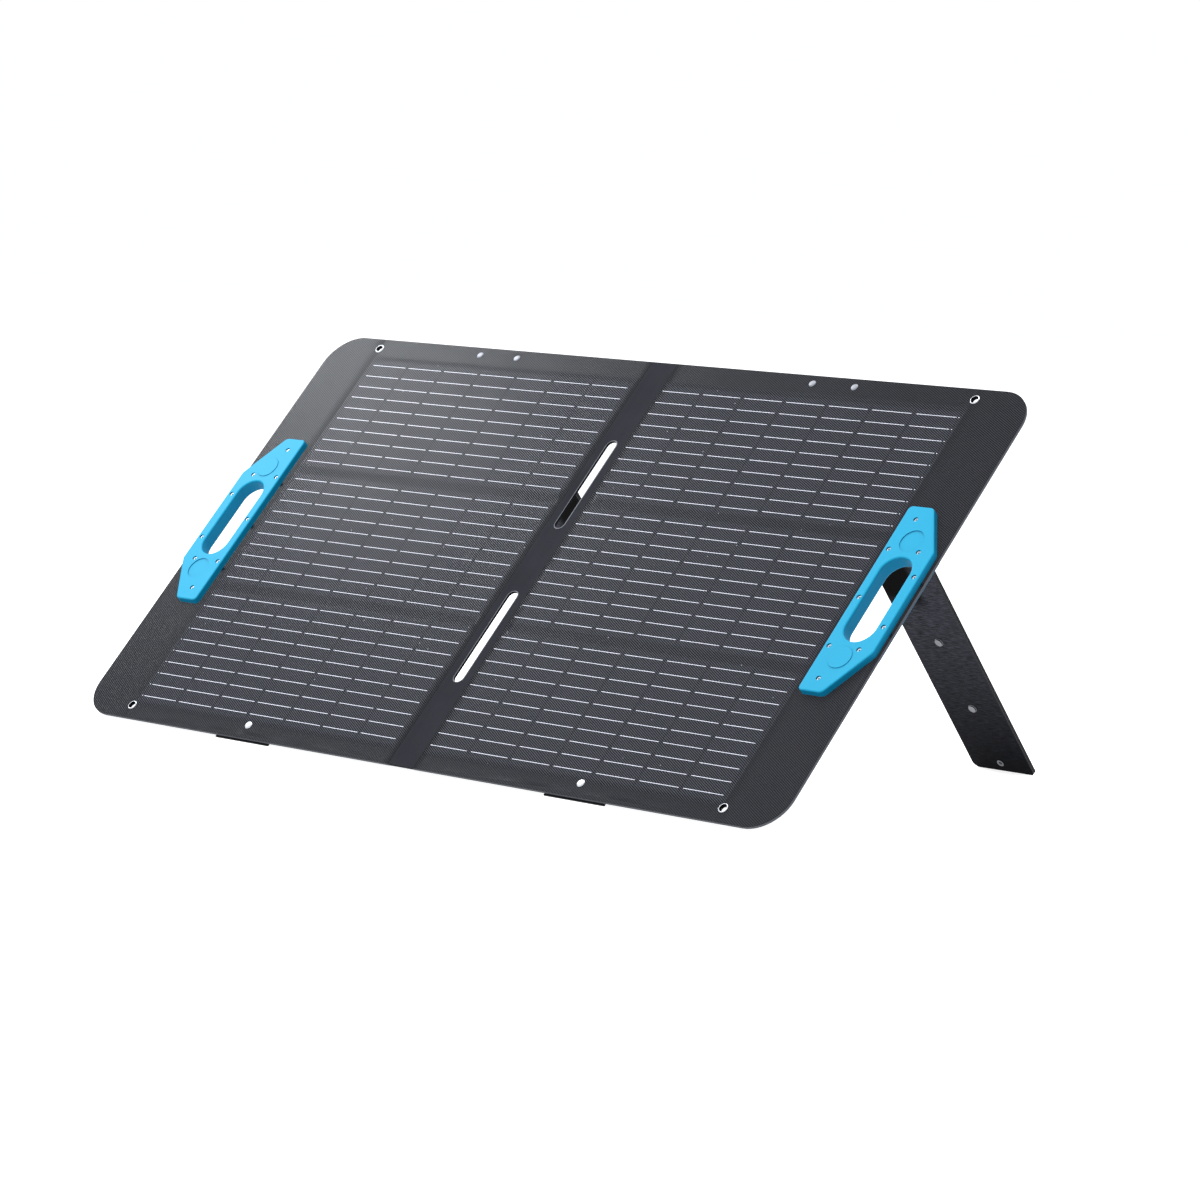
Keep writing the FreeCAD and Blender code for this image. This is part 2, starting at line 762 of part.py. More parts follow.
def handle_front(side):
    body = new_body(f"{side}_handle_front_shell", PANEL)
    outline = new_sketch(body, f"{side}_handle_front_outline", "0")
    corners = handle_outline(outline, side)
    grip_hole(outline, side)
    pad(body, outline, "handle_front")
    round_handle(body, side, "handle_front", corners, "handle_front")
    raised, sunk = seat_places(side)
    boss = new_sketch(body, f"{side}_raised_seat", "handle_front")
    circle(boss, *raised, "seat_radius")
    pad(body, boss, "seat_raised")
    fillet(body, f"{side}_raised_seat_rim", "seat_edge", loop_at("handle_front + seat_raised"))
    dish = new_sketch(body, f"{side}_sunk_seat", "handle_front")
    circle(dish, *sunk, "seat_radius + seat_clearance")
    pocket(body, dish, "seat_sunk")
    wells = new_sketch(body, f"{side}_screw_wells", "handle_front")
    for x, y in handle_screw_places(side):
        circle(wells, x, y, "screw_well / 2")
    pocket(body, wells, "screw_well_depth")
    holes = new_sketch(body, f"{side}_screw_holes", "handle_front")
    for x, y in handle_screw_places(side):
        circle(holes, x, y, "screw_hole / 2")
    pocket(body, holes, "handle_front")
    magnets = new_sketch(body, f"{side}_magnet_wells", "0")
    for x, y in (raised, sunk):
        circle(magnets, x, y, "magnet_radius + magnet_clearance")
    pocket(body, magnets, "magnet_thickness + magnet_clearance", upwards=True)
    collar = new_sketch(body, f"{side}_grip_collar", "0")
    grip_hole(collar, side, "collar_wall - fit_gap")
    grip_hole(collar, side)
    pad(body, collar, "panel_thickness", downwards=True)


def handle_rear(side):
    body = new_body(f"{side}_handle_rear_shell", PANEL)
    bottom = "0 - panel_thickness - handle_rear"
    outline = new_sketch(body, f"{side}_handle_rear_outline", bottom)
    corners = handle_outline(outline, side)
    grip_hole(outline, side)
    pad(body, outline, "handle_rear")
    round_handle(body, side, "handle_rear", corners, bottom)
    holes = new_sketch(body, f"{side}_rear_screw_holes", "0 - panel_thickness")
    for x, y in handle_screw_places(side):
        circle(holes, x, y, "screw_hole / 2")
    pocket(body, holes, "handle_rear - 0.8")


def handle_screws(side):
    """Socket-head screws that clamp both shells of a handle on the panel."""
    seat = size("handle_front") - size("screw_well_depth")
    head = size("screw_head") / 2
    shank = size("screw_shank") / 2
    top = seat + size("screw_head_height")
    hex_radius = size("screw_hex") / 2
    floor = top - size("screw_hex_depth")
    profile = [
        (0, seat - size("screw_length")), (shank, seat - size("screw_length")), (shank, seat), (head, seat),
        (head, top - 0.3), (head - 0.3, top), (hex_radius, top), (hex_radius, floor), (0, floor),
    ]
    solids = [turned(profile, place) for place in places(handle_screw_places(side))]
    set_part(f"{side}_handle_screws", Part.makeCompound(solids), PANEL)


def handle_magnets(side):
    solids = []
    for x, y in places(seat_places(side)):
        base = FreeCAD.Vector(x, y, 0)
        solids.append(Part.makeCylinder(size("magnet_radius"), size("magnet_thickness"), base, Z_AXIS))
    set_part(f"{side}_handle_magnets", Part.makeCompound(solids), PANEL)


# ---------------------------------------------------------------- legs

LEG_SNAPS = ["leg_stud", "leg_cap_low", "leg_cap_high", "leg_socket"]


def leg_layer(side, label, back, thickness, inset):
    """One layer of a leg, in the leg frame, its back face that far behind the inner face."""
    body = new_body(f"{side}_leg_{label}", LEG)
    sketch = new_sketch(body, f"{side}_leg_{label}_outline", f"0 - ( {back} )")
    near = across(side, f"leg_middle - leg_width / 2 + {inset}")
    far = across(side, f"leg_middle + leg_width / 2 - {inset}")
    foot = f"0 - leg_length + {inset}"
    top = f"0 - leg_top_gap - {inset}"
    rectangle(sketch, near, far, foot, top)
    for snap in LEG_SNAPS:
        circle(sketch, across(side, "leg_middle"), f"0 - {snap}", "snap_barrel / 2 + fit_gap")
    pad(body, sketch, thickness)
    fillet(body, f"{side}_leg_{label}_foot", "leg_big_corner", upright_at((near, foot)))
    fillet(body, f"{side}_leg_{label}_corners", "leg_small_corner", upright_at((far, foot)))


def leg_snaps(side):
    """Snap fasteners of a leg: a stud at the foot, two raised caps and the socket for the strap."""
    barrel = size("snap_barrel") / 2
    bore = size("snap_bore") / 2
    ball = size("snap_ball") / 2
    flange = size("snap_flange") / 2
    outer = size("snap_cap") / 2
    face = size("leg_cap") / 2
    back = -size("leg_thickness")
    floor = -3.2
    tip = size("snap_stud_height")
    rise = size("leg_cap_height")
    stud = [
        (0, tip), (ball * 0.7, tip), (ball, tip - 0.6), (ball, tip - 1.1), (ball * 0.8, tip - 1.6),
        (ball * 0.8, 0.4), (flange, 0.4), (flange, 0.0),
    ]
    cap = [
        (0, rise), (face - 0.9, rise), (face - 0.5, rise - 0.4), (face - 0.5, 0.3), (face, 0.3), (face, 0.0),
    ]
    socket = [(0, floor), (bore, floor), (bore, 0.05), (flange, 0.05), (flange, 0.0)]
    through = [
        (barrel, 0.0), (barrel, back), (outer, back), (outer, back - 0.4), (outer * 0.8, back - 1.1),
        (0, back - 1.3),
    ]
    x = SIDES[side] * size("leg_middle")
    solids = [
        turned(front + through, (x, -size(snap)))
        for snap, front in zip(LEG_SNAPS, [stud, cap, cap, socket])
    ]
    set_part(f"{side}_leg_snaps", Part.makeCompound(solids), LEG)


def strap_snap(side):
    """The strap's own snap: a cap on the webbing and a stud in the leg's socket."""
    ball = size("snap_ball") / 2
    cap = size("snap_cap") / 2
    base = size("strap_thickness") + 0.1
    profile = [
        (0, base + 0.9), (cap - 1.4, base + 0.9), (cap - 0.9, base + 0.4), (cap - 0.9, base),
        (ball * 0.8, base), (ball * 0.8, -0.8), (ball, -1.3), (ball, -2.2), (ball * 0.7, -2.8), (0, -2.8),
    ]
    place = (SIDES[side] * size("leg_middle"), -size("leg_socket"))
    set_part(f"{side}_strap_snap", turned(profile, place), LEG)


# ---------------------------------------------------------------- fold between the halves

def fold_layer(label, back, thickness):
    """One cloth layer of the strip between the halves, with its two long slots."""
    body = new_body(label, PANEL)
    sketch = new_sketch(body, f"{label}_outline", f"0 - ( {back} )")
    half = "fold_strip_width / 2 - fold_gap"
    rectangle(sketch, f"0 - ( {half} )", half, "0", "panel_height")
    near = "slot_inner_offset + slot_radius"
    far = "slot_outer_offset - slot_radius"
    stadium(sketch, "0", f"panel_height / 2 + {near}", f"panel_height / 2 + {far}", "slot_radius")
    stadium(sketch, "0", f"panel_height / 2 - ( {far} )", f"panel_height / 2 - ( {near} )", "slot_radius")
    pad(body, sketch, thickness)


def fold_jumpers():
    """Flat ribbons that carry the current across the fold, between its cloth layers."""
    solids = []
    for sign in (-1, 1):
        y = size("panel_height") / 2 + sign * size("jumper_offset")
        solids.append(centred_box(
            0, y, -size("jumper_depth"), size("fold_strip_width") - 2 * size("fold_gap"),
            size("jumper_width"), size("jumper_thickness")))
    set_part("fold_jumper_ribbons", Part.makeCompound(solids), PANEL)


# ---------------------------------------------------------------- junction box

BOX_X = "0 - box_middle"
BOX_CORNERS = [("-", "-"), ("+", "-"), ("+", "+"), ("-", "+")]


def box_corner(signs, inset="0"):
    x_sign, y_sign = signs
    x = f"{BOX_X} {x_sign} ( box_width / 2 - {inset} )"
    y = f"box_height_up {y_sign} ( box_length / 2 - {inset} )"
    return x, y


def box_plate(label, back, thickness, posts=None, hollow=False):
    """A rounded plate of the junction box, behind the left half."""
    body = new_body(label, PANEL)
    sketch = new_sketch(body, f"{label}_outline", f"0 - ( {back} )")
    polygon(sketch, [box_corner(signs) for signs in BOX_CORNERS])
    if hollow:
        rectangle(
            sketch,
            f"{BOX_X} - box_width / 2 + box_wall", f"{BOX_X} + box_width / 2 - box_wall",
            f"box_height_up - box_length / 2 + box_screw_inset * 2",
            f"box_height_up + box_length / 2 - box_screw_inset * 2")
    if posts:
        for signs in BOX_CORNERS:
            circle(sketch, *box_corner(signs, "box_screw_inset"), posts)
    pad(body, sketch, thickness)
    corners = upright_at(*[box_corner(signs) for signs in BOX_CORNERS])
    fillet(body, f"{label}_corners", "box_corner", corners)
    return body


def junction_box():
    """Base, gasket, lid, terminal block, diodes and screws on the back of the left half."""
    floor = "panel_thickness + box_wall"
    rim = "panel_thickness + box_depth"
    base = box_plate("junction_box_base", rim, "box_depth", "box_screw_shank / 2 + fit_gap")
    cavity = new_sketch(base, "junction_box_cavity", f"0 - ( {rim} )")
    rectangle(
        cavity,
        f"{BOX_X} - box_width / 2 + box_wall", f"{BOX_X} + box_width / 2 - box_wall",
        "box_height_up - box_length / 2 + box_screw_inset * 2",
        "box_height_up + box_length / 2 - box_screw_inset * 2")
    pocket(base, cavity, "box_depth - box_wall", upwards=True)
    inlet = base.newObject("Sketcher::SketchObject", "junction_box_inlet")
    plane = next(item for item in base.Origin.OriginFeatures if item.Role == "XZ_Plane")
    inlet.AttachmentSupport = (plane, [""])
    inlet.MapMode = "FlatFace"
    inlet.setExpression("AttachmentOffset.Base.z", of_sizes("0 - ( box_height_up - box_length / 2 )"))
    circle(inlet, BOX_X, "0 - ( panel_thickness + box_depth / 2 )", "gland_radius + fit_gap")
    pocket(base, inlet, "box_screw_inset * 2 + 1")
    box_plate("junction_box_gasket", f"{rim} + gasket_thickness", "gasket_thickness",
              "box_screw_shank / 2 + fit_gap", hollow=True)
    box_plate("junction_box_lid", f"{rim} + gasket_thickness + lid_thickness", "lid_thickness",
              "box_screw_shank / 2 + fit_gap")
    block_y = size("box_height_up") + 4.0
    floor_z = -value(of_sizes(floor))
    block = centred_box(
        -size("box_middle"), block_y, floor_z - size("terminal_depth"),
        size("terminal_width"), size("terminal_length"), size("terminal_depth"))
    set_part("junction_box_terminal_block", block, PANEL)
    diodes = []
    for sign in (-1, 1):
        x = -size("box_middle") + sign * (size("terminal_width") / 2 + size("diode_pitch") / 2)
        start = FreeCAD.Vector(x, block_y - size("diode_length") / 2, floor_z - size("diode_radius"))
        diodes.append(Part.makeCylinder(size("diode_radius"), size("diode_length"), start, Y_AXIS))
    set_part("junction_box_diodes", Part.makeCompound(diodes), PANEL)
    top = -value(of_sizes(f"{rim} + gasket_thickness + lid_thickness"))
    shank = size("box_screw_shank") / 2
    head = size("box_screw_head") / 2
    profile = [
        (0, top + size("box_screw_length")), (shank, top + size("box_screw_length")), (shank, top),
        (head, top), (head * 0.8, top - 1.0), (0, top - 1.3),
    ]
    corners = places([box_corner(signs, "box_screw_inset") for signs in BOX_CORNERS])
    set_part("junction_box_screws", Part.makeCompound([turned(profile, c) for c in corners]), PANEL)


def cable_gland():
    """The gland in the lower wall of the junction box, and its clamping nut."""
    radius = size("gland_radius")
    bore = size("gland_bore")
    nut = size("gland_nut_radius")
    wall_y = size("box_height_up") - size("box_length") / 2
    centre = FreeCAD.Vector(-size("box_middle"), 0, -(size("panel_thickness") + size("box_depth") / 2))
    inner = wall_y + 2 * size("box_screw_inset")
    outer = wall_y - size("gland_length")

    def tube(start, end, outside, inside):
        base = centre + FreeCAD.Vector(0, end, 0)
        solid = Part.makeCylinder(outside, start - end, base, Y_AXIS)
        return solid.cut(Part.makeCylinder(inside, start - end, base, Y_AXIS))

    set_part("cable_gland", tube(inner, outer, radius, bore), PANEL)
    nut_start = wall_y - 0.05
    nut_body = Part.makePolygon([
        centre + FreeCAD.Vector(nut * math.sin(angle), nut_start, nut * math.cos(angle))
        for angle in (math.radians(60 * k) for k in range(7))
    ])
    solid = Part.Face(nut_body).extrude(FreeCAD.Vector(0, -size("gland_nut_length"), 0))
    hole = Part.makeCylinder(radius + 0.05, size("gland_nut_length"),
                             centre + FreeCAD.Vector(0, nut_start - size("gland_nut_length"), 0), Y_AXIS)
    set_part("cable_gland_nut", solid.cut(hole), PANEL)


# ---------------------------------------------------------------- the whole object

for side in SIDES:
    layer(side, "front_film", "film_thickness", "film_thickness")
    layer(side, "encapsulant", "core_front", "core_front - film_thickness", cell_window(side))
    layer(side, "core_board", "core_back", "core_back - core_front", anchored=True)
    layer(side, "back_skin", "panel_thickness", "panel_thickness - core_back", anchored=True)
    cells(side)
    ribbons(side)
    eyelets(side)
    top_rivets(side)
    bottom_snap(side)
    strap_anchor(side)
    bottom_tab(side)
    leg_mount(side)
    leg_hinge_cloth(side)
    angle_strap(side)
    handle_front(side)
    handle_rear(side)
    handle_screws(side)
    handle_magnets(side)
    leg_layer(side, "inner_cover", "leg_cover", "leg_cover", "0")
    leg_layer(side, "core", "leg_thickness - leg_cover", "leg_thickness - 2 * leg_cover", "leg_inset")
    leg_layer(side, "outer_cover", "leg_thickness", "leg_cover", "0")
    leg_snaps(side)
    strap_snap(side)
fold_layer("fold_strip_front", "1.0", "0.6")
fold_layer("fold_strip_back", "3.4", "0.6")
fold_jumpers()
junction_box()
cable_gland()
doc.recompute()

problems = []
for item in doc.Objects:
    if "Invalid" in item.State or "Error" in item.State:
        problems.append(f"{item.Label}: {item.State}")
for item in sub_parts:
    if item.Shape.isNull() or not item.Shape.isValid():
        problems.append(f"{item.Label}: no valid shape")
if problems:
    raise RuntimeError("; ".join(problems))

os.makedirs("parts", exist_ok=True)
for item in sub_parts:
    item.Shape.exportStep(f"parts/{item.Label}.step")

total = Part.makeCompound([item.Shape for item in sub_parts]).BoundBox
print(f"{len(sub_parts)} sub-parts, leg opening {leg_opening:.3f}, leg slope {leg_slope:.3f}")
for axis in "XYZ":
    print(f"{axis} {getattr(total, axis + 'Min'):.3f} {getattr(total, axis + 'Max'):.3f}")
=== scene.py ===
import bpy
import bmesh
import json
import math
from mathutils import Matrix, Vector
from mathutils.geometry import delaunay_2d_cdt

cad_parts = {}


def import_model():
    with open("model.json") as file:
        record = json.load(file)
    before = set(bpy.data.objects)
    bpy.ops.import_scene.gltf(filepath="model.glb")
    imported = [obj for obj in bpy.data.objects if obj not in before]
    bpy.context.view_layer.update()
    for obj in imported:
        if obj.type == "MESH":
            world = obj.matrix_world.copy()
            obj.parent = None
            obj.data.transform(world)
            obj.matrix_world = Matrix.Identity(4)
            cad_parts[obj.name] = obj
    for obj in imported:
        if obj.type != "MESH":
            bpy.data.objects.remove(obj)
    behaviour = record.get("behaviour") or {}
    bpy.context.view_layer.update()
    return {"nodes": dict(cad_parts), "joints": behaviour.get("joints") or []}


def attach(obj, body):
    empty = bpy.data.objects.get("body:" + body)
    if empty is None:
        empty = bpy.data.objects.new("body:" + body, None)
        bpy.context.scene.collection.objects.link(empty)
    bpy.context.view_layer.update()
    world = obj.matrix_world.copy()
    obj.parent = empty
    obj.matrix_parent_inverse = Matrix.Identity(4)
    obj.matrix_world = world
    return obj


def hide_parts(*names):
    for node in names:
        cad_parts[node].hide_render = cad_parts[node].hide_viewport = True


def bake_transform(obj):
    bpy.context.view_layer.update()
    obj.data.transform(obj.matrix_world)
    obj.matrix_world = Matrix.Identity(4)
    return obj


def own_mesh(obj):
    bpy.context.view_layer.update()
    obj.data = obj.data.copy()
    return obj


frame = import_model()

# ---------------- local frames
# Pieces are drawn in millimetres, in the panel frame (x right, y up the slope, z out of the front face)
# or in a leg frame (y up the leg from the hinge line, z out of the inner face).

MM = 0.001
joints = {joint["name"]: joint for joint in frame["joints"]}
fold_axis = joints["panel_fold"]["axis"]
TILT = math.atan2(-fold_axis[2], -fold_axis[1])
OPENING = math.radians(joints["left_leg_fold"]["range_deg"][1])
FOLD_HEIGHT = 8.5
OUT = Vector((0, -math.sin(TILT), math.cos(TILT)))
PANEL_ORIGIN = Vector(joints["panel_fold"]["pos_m"]) - OUT * FOLD_HEIGHT * MM
HINGE = Vector(joints["left_leg_fold"]["pos_m"])


def local_frame(origin, slope):
    """Millimetres of a frame that leans back by slope, set in the world."""
    return Matrix.Translation(origin) @ Matrix.Rotation(slope, 4, "X") @ Matrix.Scale(MM, 4)


PANEL = local_frame(PANEL_ORIGIN, TILT)
LEG = local_frame(HINGE, TILT + OPENING)
hinge_in_panel = PANEL.inverted() @ HINGE
SIDES = {"left": -1, "right": 1}
SHARP_ANGLE = math.radians(42)


def islands(node, place=PANEL):
    """The separate solids of a CAD node, as (lowest, highest) corners in a local frame."""
    bm = bmesh.new()
    bm.from_mesh(frame["nodes"][node].data)
    bm.transform(place.inverted())
    bmesh.ops.remove_doubles(bm, verts=bm.verts, dist=1e-3)
    found = []
    seen = set()
    for vert in bm.verts:
        if vert in seen:
            continue
        group = [vert]
        seen.add(vert)
        for member in group:
            for edge in member.link_edges:
                other = edge.other_vert(member)
                if other not in seen:
                    seen.add(other)
                    group.append(other)
        low = Vector([min(v.co[k] for v in group) for k in range(3)])
        high = Vector([max(v.co[k] for v in group) for k in range(3)])
        found.append((low, high))
    bm.free()
    return sorted(found, key=lambda pair: (round(pair[0].y, 2), round(pair[0].x, 2)))


def centres(node, place=PANEL):
    """Middles of the separate solids of a CAD node, as (x, y) in a local frame."""
    return [((low + high) / 2).xy for low, high in islands(node, place)]


def span(node, place=PANEL):
    """Lowest and highest corner of a whole CAD node in a local frame."""
    boxes = islands(node, place)
    low = Vector([min(b[0][k] for b in boxes) for k in range(3)])
    high = Vector([max(b[1][k] for b in boxes) for k in range(3)])
    return low, high


# ---------------- shader graphs

class Field:
    """A value in a shader graph, with the usual operators."""

    def __init__(self, graph, socket):
        self.graph = graph
        self.socket = socket

    def _op(self, operation, *others, swap=False):
        terms = [self, *others]
        if swap:
            terms.reverse()
        return self.graph.math(operation, *terms)

    def __add__(self, other):
        return self._op("ADD", other)

    def __radd__(self, other):
        return self._op("ADD", other)

    def __sub__(self, other):
        return self._op("SUBTRACT", other)

    def __rsub__(self, other):
        return self._op("SUBTRACT", other, swap=True)

    def __mul__(self, other):
        return self._op("MULTIPLY", other)

    def __rmul__(self, other):
        return self._op("MULTIPLY", other)

    def __truediv__(self, other):
        return self._op("DIVIDE", other)

    def abs(self):
        return self._op("ABSOLUTE")

    def fract(self):
        return self._op("FRACT")

    def max(self, other):
        return self._op("MAXIMUM", other)

    def wave(self):
        """A cosine of the field in turns, from 0 to 1, highest at whole turns."""
        return self._op("MULTIPLY", 2 * math.pi)._op("COSINE") * 0.5 + 0.5

    def step(self, low, high):
        """0 below low, 1 above high, smooth between."""
        node = self.graph.add("ShaderNodeMapRange", interpolation_type="SMOOTHSTEP")
        self.graph.feed(node.inputs["Value"], self)
        node.inputs["From Min"].default_value = low
        node.inputs["From Max"].default_value = high
        return Field(self.graph, node.outputs["Result"])


class Graph:
    """One procedural material, with coordinates in millimetres of a local frame."""

    def __init__(self, name, place=PANEL):
        self.material = bpy.data.materials.new(name)
        self.material.use_nodes = True
        self.tree = self.material.node_tree
        self.shader = self.tree.nodes["Principled BSDF"]
        coordinates = self.add("ShaderNodeTexCoord")
        mapping = self.add("ShaderNodeMapping")
        self.tree.links.new(coordinates.outputs["Object"], mapping.inputs["Vector"])
        inverse = place.inverted()
        mapping.inputs["Scale"].default_value = [1 / MM] * 3
        mapping.inputs["Rotation"].default_value = inverse.to_euler()
        mapping.inputs["Location"].default_value = inverse.translation
        self.place = mapping.outputs["Vector"]
        split = self.add("ShaderNodeSeparateXYZ")
        self.tree.links.new(self.place, split.inputs[0])
        self.x, self.y, self.z = (Field(self, split.outputs[k]) for k in range(3))

    def add(self, kind, **settings):
        node = self.tree.nodes.new(kind)
        for key, setting in settings.items():
            setattr(node, key, setting)
        return node

    def feed(self, socket, value):
        if isinstance(value, Field):
            self.tree.links.new(value.socket, socket)
        else:
            socket.default_value = value

    def math(self, operation, *terms):
        node = self.add("ShaderNodeMath", operation=operation)
        for socket, term in zip(node.inputs, terms):
            self.feed(socket, term)
        return Field(self, node.outputs[0])

    def noise(self, scale, detail=2.0, stretch=(1, 1, 1), roughness=0.5):
        """Noise about 0.5; scale is in features per millimetre."""
        mapping = self.add("ShaderNodeMapping")
        self.tree.links.new(self.place, mapping.inputs["Vector"])
        mapping.inputs["Scale"].default_value = stretch
        node = self.add("ShaderNodeTexNoise")
        self.tree.links.new(mapping.outputs["Vector"], node.inputs["Vector"])
        node.inputs["Scale"].default_value = scale
        node.inputs["Detail"].default_value = detail
        node.inputs["Roughness"].default_value = roughness
        return Field(self, node.outputs["Fac"])

    def specks(self, scale, size):
        """Sparse round specks: 1 in a speck, 0 outside."""
        node = self.add("ShaderNodeTexVoronoi", feature="F1")
        self.tree.links.new(self.place, node.inputs["Vector"])
        node.inputs["Scale"].default_value = scale
        return 1.0 - Field(self, node.outputs["Distance"]).step(size * 0.5, size)

    def facing(self, direction):
        """How far the surface faces a direction, from -1 to 1."""
        node = self.add("ShaderNodeTexCoord")
        dot = self.add("ShaderNodeVectorMath", operation="DOT_PRODUCT")
        self.tree.links.new(node.outputs["Normal"], dot.inputs[0])
        dot.inputs[1].default_value = direction
        return Field(self, dot.outputs["Value"])

    def colour(self, low, high, amount):
        """Two colours mixed by a field."""
        node = self.add("ShaderNodeMix", data_type="RGBA")
        self.feed(node.inputs["Factor"], amount)
        for socket, value in ((node.inputs[6], low), (node.inputs[7], high)):
            self.feed(socket, value if isinstance(value, Field) else (*value, 1.0))
        return Field(self, node.outputs[2])

    def bump(self, height, distance, strength=1.0, over=None):
        """Relief of the given height field; distance is in millimetres."""
        node = self.add("ShaderNodeBump")
        node.inputs["Strength"].default_value = strength
        node.inputs["Distance"].default_value = distance * MM
        self.feed(node.inputs["Height"], height)
        if over:
            self.tree.links.new(over.socket, node.inputs["Normal"])
        return Field(self, node.outputs["Normal"])

    def finish(self, colour, roughness, normal=None, **constants):
        """Sets what the shader takes, and returns the material."""
        self.feed(self.shader.inputs["Base Color"], colour)
        self.feed(self.shader.inputs["Roughness"], roughness)
        if normal:
            self.feed(self.shader.inputs["Normal"], normal)
        for key, value in constants.items():
            self.shader.inputs[key.replace("_", " ")].default_value = value
        return self.material


def srgb(red, green, blue):
    """Linear colour from the usual 0 to 255 values."""
    return tuple(((c / 255 + 0.055) / 1.055) ** 2.4 if c > 10 else c / 3294 for c in (red, green, blue))


# ---------------- mesh pieces

def piece(name, bm, place, body, materials, nodes=(), bevel=0.0):
    """Sets a drawing in the world as a piece that rides on a body and stands for CAD nodes."""
    bmesh.ops.recalc_face_normals(bm, faces=bm.faces)
    mesh = bpy.data.meshes.new(name)
    bm.to_mesh(mesh)
    bm.free()
    mesh.transform(place)
    for polygon in mesh.polygons:
        polygon.use_smooth = True
    for material in materials if isinstance(materials, list) else [materials]:
        mesh.materials.append(material)
    mesh.set_sharp_from_angle(angle=SHARP_ANGLE)
    item = bpy.data.objects.new(name, mesh)
    bpy.context.scene.collection.objects.link(item)
    if bevel:
        add_bevel(item, bevel)
    if body:
        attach(item, body)
    if nodes:
        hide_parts(*nodes)
    return item


def add_bevel(item, width):
    """Rounds the sharp edges of an object; width is in millimetres."""
    bevel = item.modifiers.new("soft_edges", "BEVEL")
    bevel.width = width * MM
    bevel.segments = 2
    bevel.limit_method = "ANGLE"
    bevel.angle_limit = SHARP_ANGLE
    bevel.harden_normals = True


def ring(centre, radius, count=40):
    """Points of a circle, anticlockwise."""
    return [
        Vector((centre[0] + radius * math.cos(a), centre[1] + radius * math.sin(a)))
        for a in (2 * math.pi * k / count for k in range(count))
    ]


def stadium(centre, low, high, radius, count=24):
    """A slot outline along y with full-round ends, anticlockwise."""
    points = []
    for middle, start in ((high, 0.0), (low, math.pi)):
        for k in range(count + 1):
            angle = start + math.pi * k / count
            points.append(Vector((centre + radius * math.cos(angle), middle + radius * math.sin(angle))))
    return points


def rounded(corners, count=12):
    """A closed outline through (x, y, radius) corners."""
    points = []
    for index, (x, y, radius) in enumerate(corners):
        corner = Vector((x, y))
        before = (Vector(corners[index - 1][:2]) - corner).normalized()
        after = (Vector(corners[(index + 1) % len(corners)][:2]) - corner).normalized()
        if radius <= 0:
            points.append(corner)
            continue
        half = before.angle(after) / 2
        reach = radius / math.tan(half)
        centre = corner + (before + after).normalized() * (radius / math.sin(half))
        start = corner + before * reach - centre
        end = corner + after * reach - centre
        sweep = math.atan2(start.x * end.y - start.y * end.x, start.dot(end))
        for k in range(count + 1):
            turn = sweep * k / count
            points.append(centre + Vector((
                start.x * math.cos(turn) - start.y * math.sin(turn),
                start.x * math.sin(turn) + start.y * math.cos(turn))))
    return points


def inside(point, outline):
    """Whether a point lies within a closed outline."""
    crossings = False
    for a, b in zip(outline, outline[1:] + outline[:1]):
        if (a.y > point.y) != (b.y > point.y):
            if point.x < a.x + (point.y - a.y) / (b.y - a.y) * (b.x - a.x):
                crossings = not crossings
    return crossings


def near(point, outline, gap):
    """Whether a point lies closer than gap to an outline."""
    for a, b in zip(outline, outline[1:] + outline[:1]):
        run = b - a
        t = max(0.0, min(1.0, (point - a).dot(run) / max(run.length_squared, 1e-9)))
        if (point - a - run * t).length < gap:
            return True
    return False


def filled(outline, holes, inner_points, gap):
    """Triangles over an outline with holes, through the inner points that are clear of every edge."""
    boxes = []
    for loop in holes:
        xs = [p.x for p in loop]
        ys = [p.y for p in loop]
        boxes.append((min(xs) - gap, max(xs) + gap, min(ys) - gap, max(ys) + gap))
    points = []
    edges = []
    for loop in [outline, *holes]:
        first = len(points)
        points.extend(loop)
        edges.extend((first + k, first + (k + 1) % len(loop)) for k in range(len(loop)))
    for point in inner_points:
        if not inside(point, outline) or near(point, outline, gap):
            continue
        blocked = False
        for loop, (x0, x1, y0, y1) in zip(holes, boxes):
            if x0 < point.x < x1 and y0 < point.y < y1 and (inside(point, loop) or near(point, loop, gap)):
                blocked = True
                break
        if not blocked:
            points.append(point)
    verts, _, faces, *_ = delaunay_2d_cdt(points, edges, [], 1, 1e-5)
    kept = []
    for face in faces:
        middle = sum((verts[k] for k in face), Vector((0, 0))) / len(face)
        if not inside(middle, outline):
            continue
        hit = any(
            x0 < middle.x < x1 and y0 < middle.y < y1 and inside(middle, loop)
            for loop, (x0, x1, y0, y1) in zip(holes, boxes))
        if not hit:
            kept.append(face)
    return verts, kept


def skins(bm, faces, upper, lower):
    """Lays the same triangles on two layers of vertices, and returns the edges round their rims."""
    border = {}
    for face in faces:
        bm.faces.new([upper[k] for k in face])
        bm.faces.new([lower[k] for k in reversed(face)])
        for a, b in zip(face, [*face[1:], face[0]]):
            border[(a, b)] = True
    return [(a, b) for a, b in border if (b, a) not in border]


def drop_loose(bm):
    """Removes the vertices that no face uses."""
    bmesh.ops.delete(bm, geom=[v for v in bm.verts if not v.link_faces], context="VERTS")


def slab(outline, holes, inner_points, top, bottom, gap):
    """A closed sheet whose two faces follow the height functions top(x, y) and bottom(x, y)."""
    verts, faces = filled(outline, holes, inner_points, gap)
    bm = bmesh.new()
    upper = [bm.verts.new((v.x, v.y, top(v.x, v.y))) for v in verts]
    lower = [bm.verts.new((v.x, v.y, bottom(v.x, v.y))) for v in verts]
    for a, b in skins(bm, faces, upper, lower):
        bm.faces.new((upper[b], upper[a], lower[a], lower[b]))
    drop_loose(bm)
    return bm


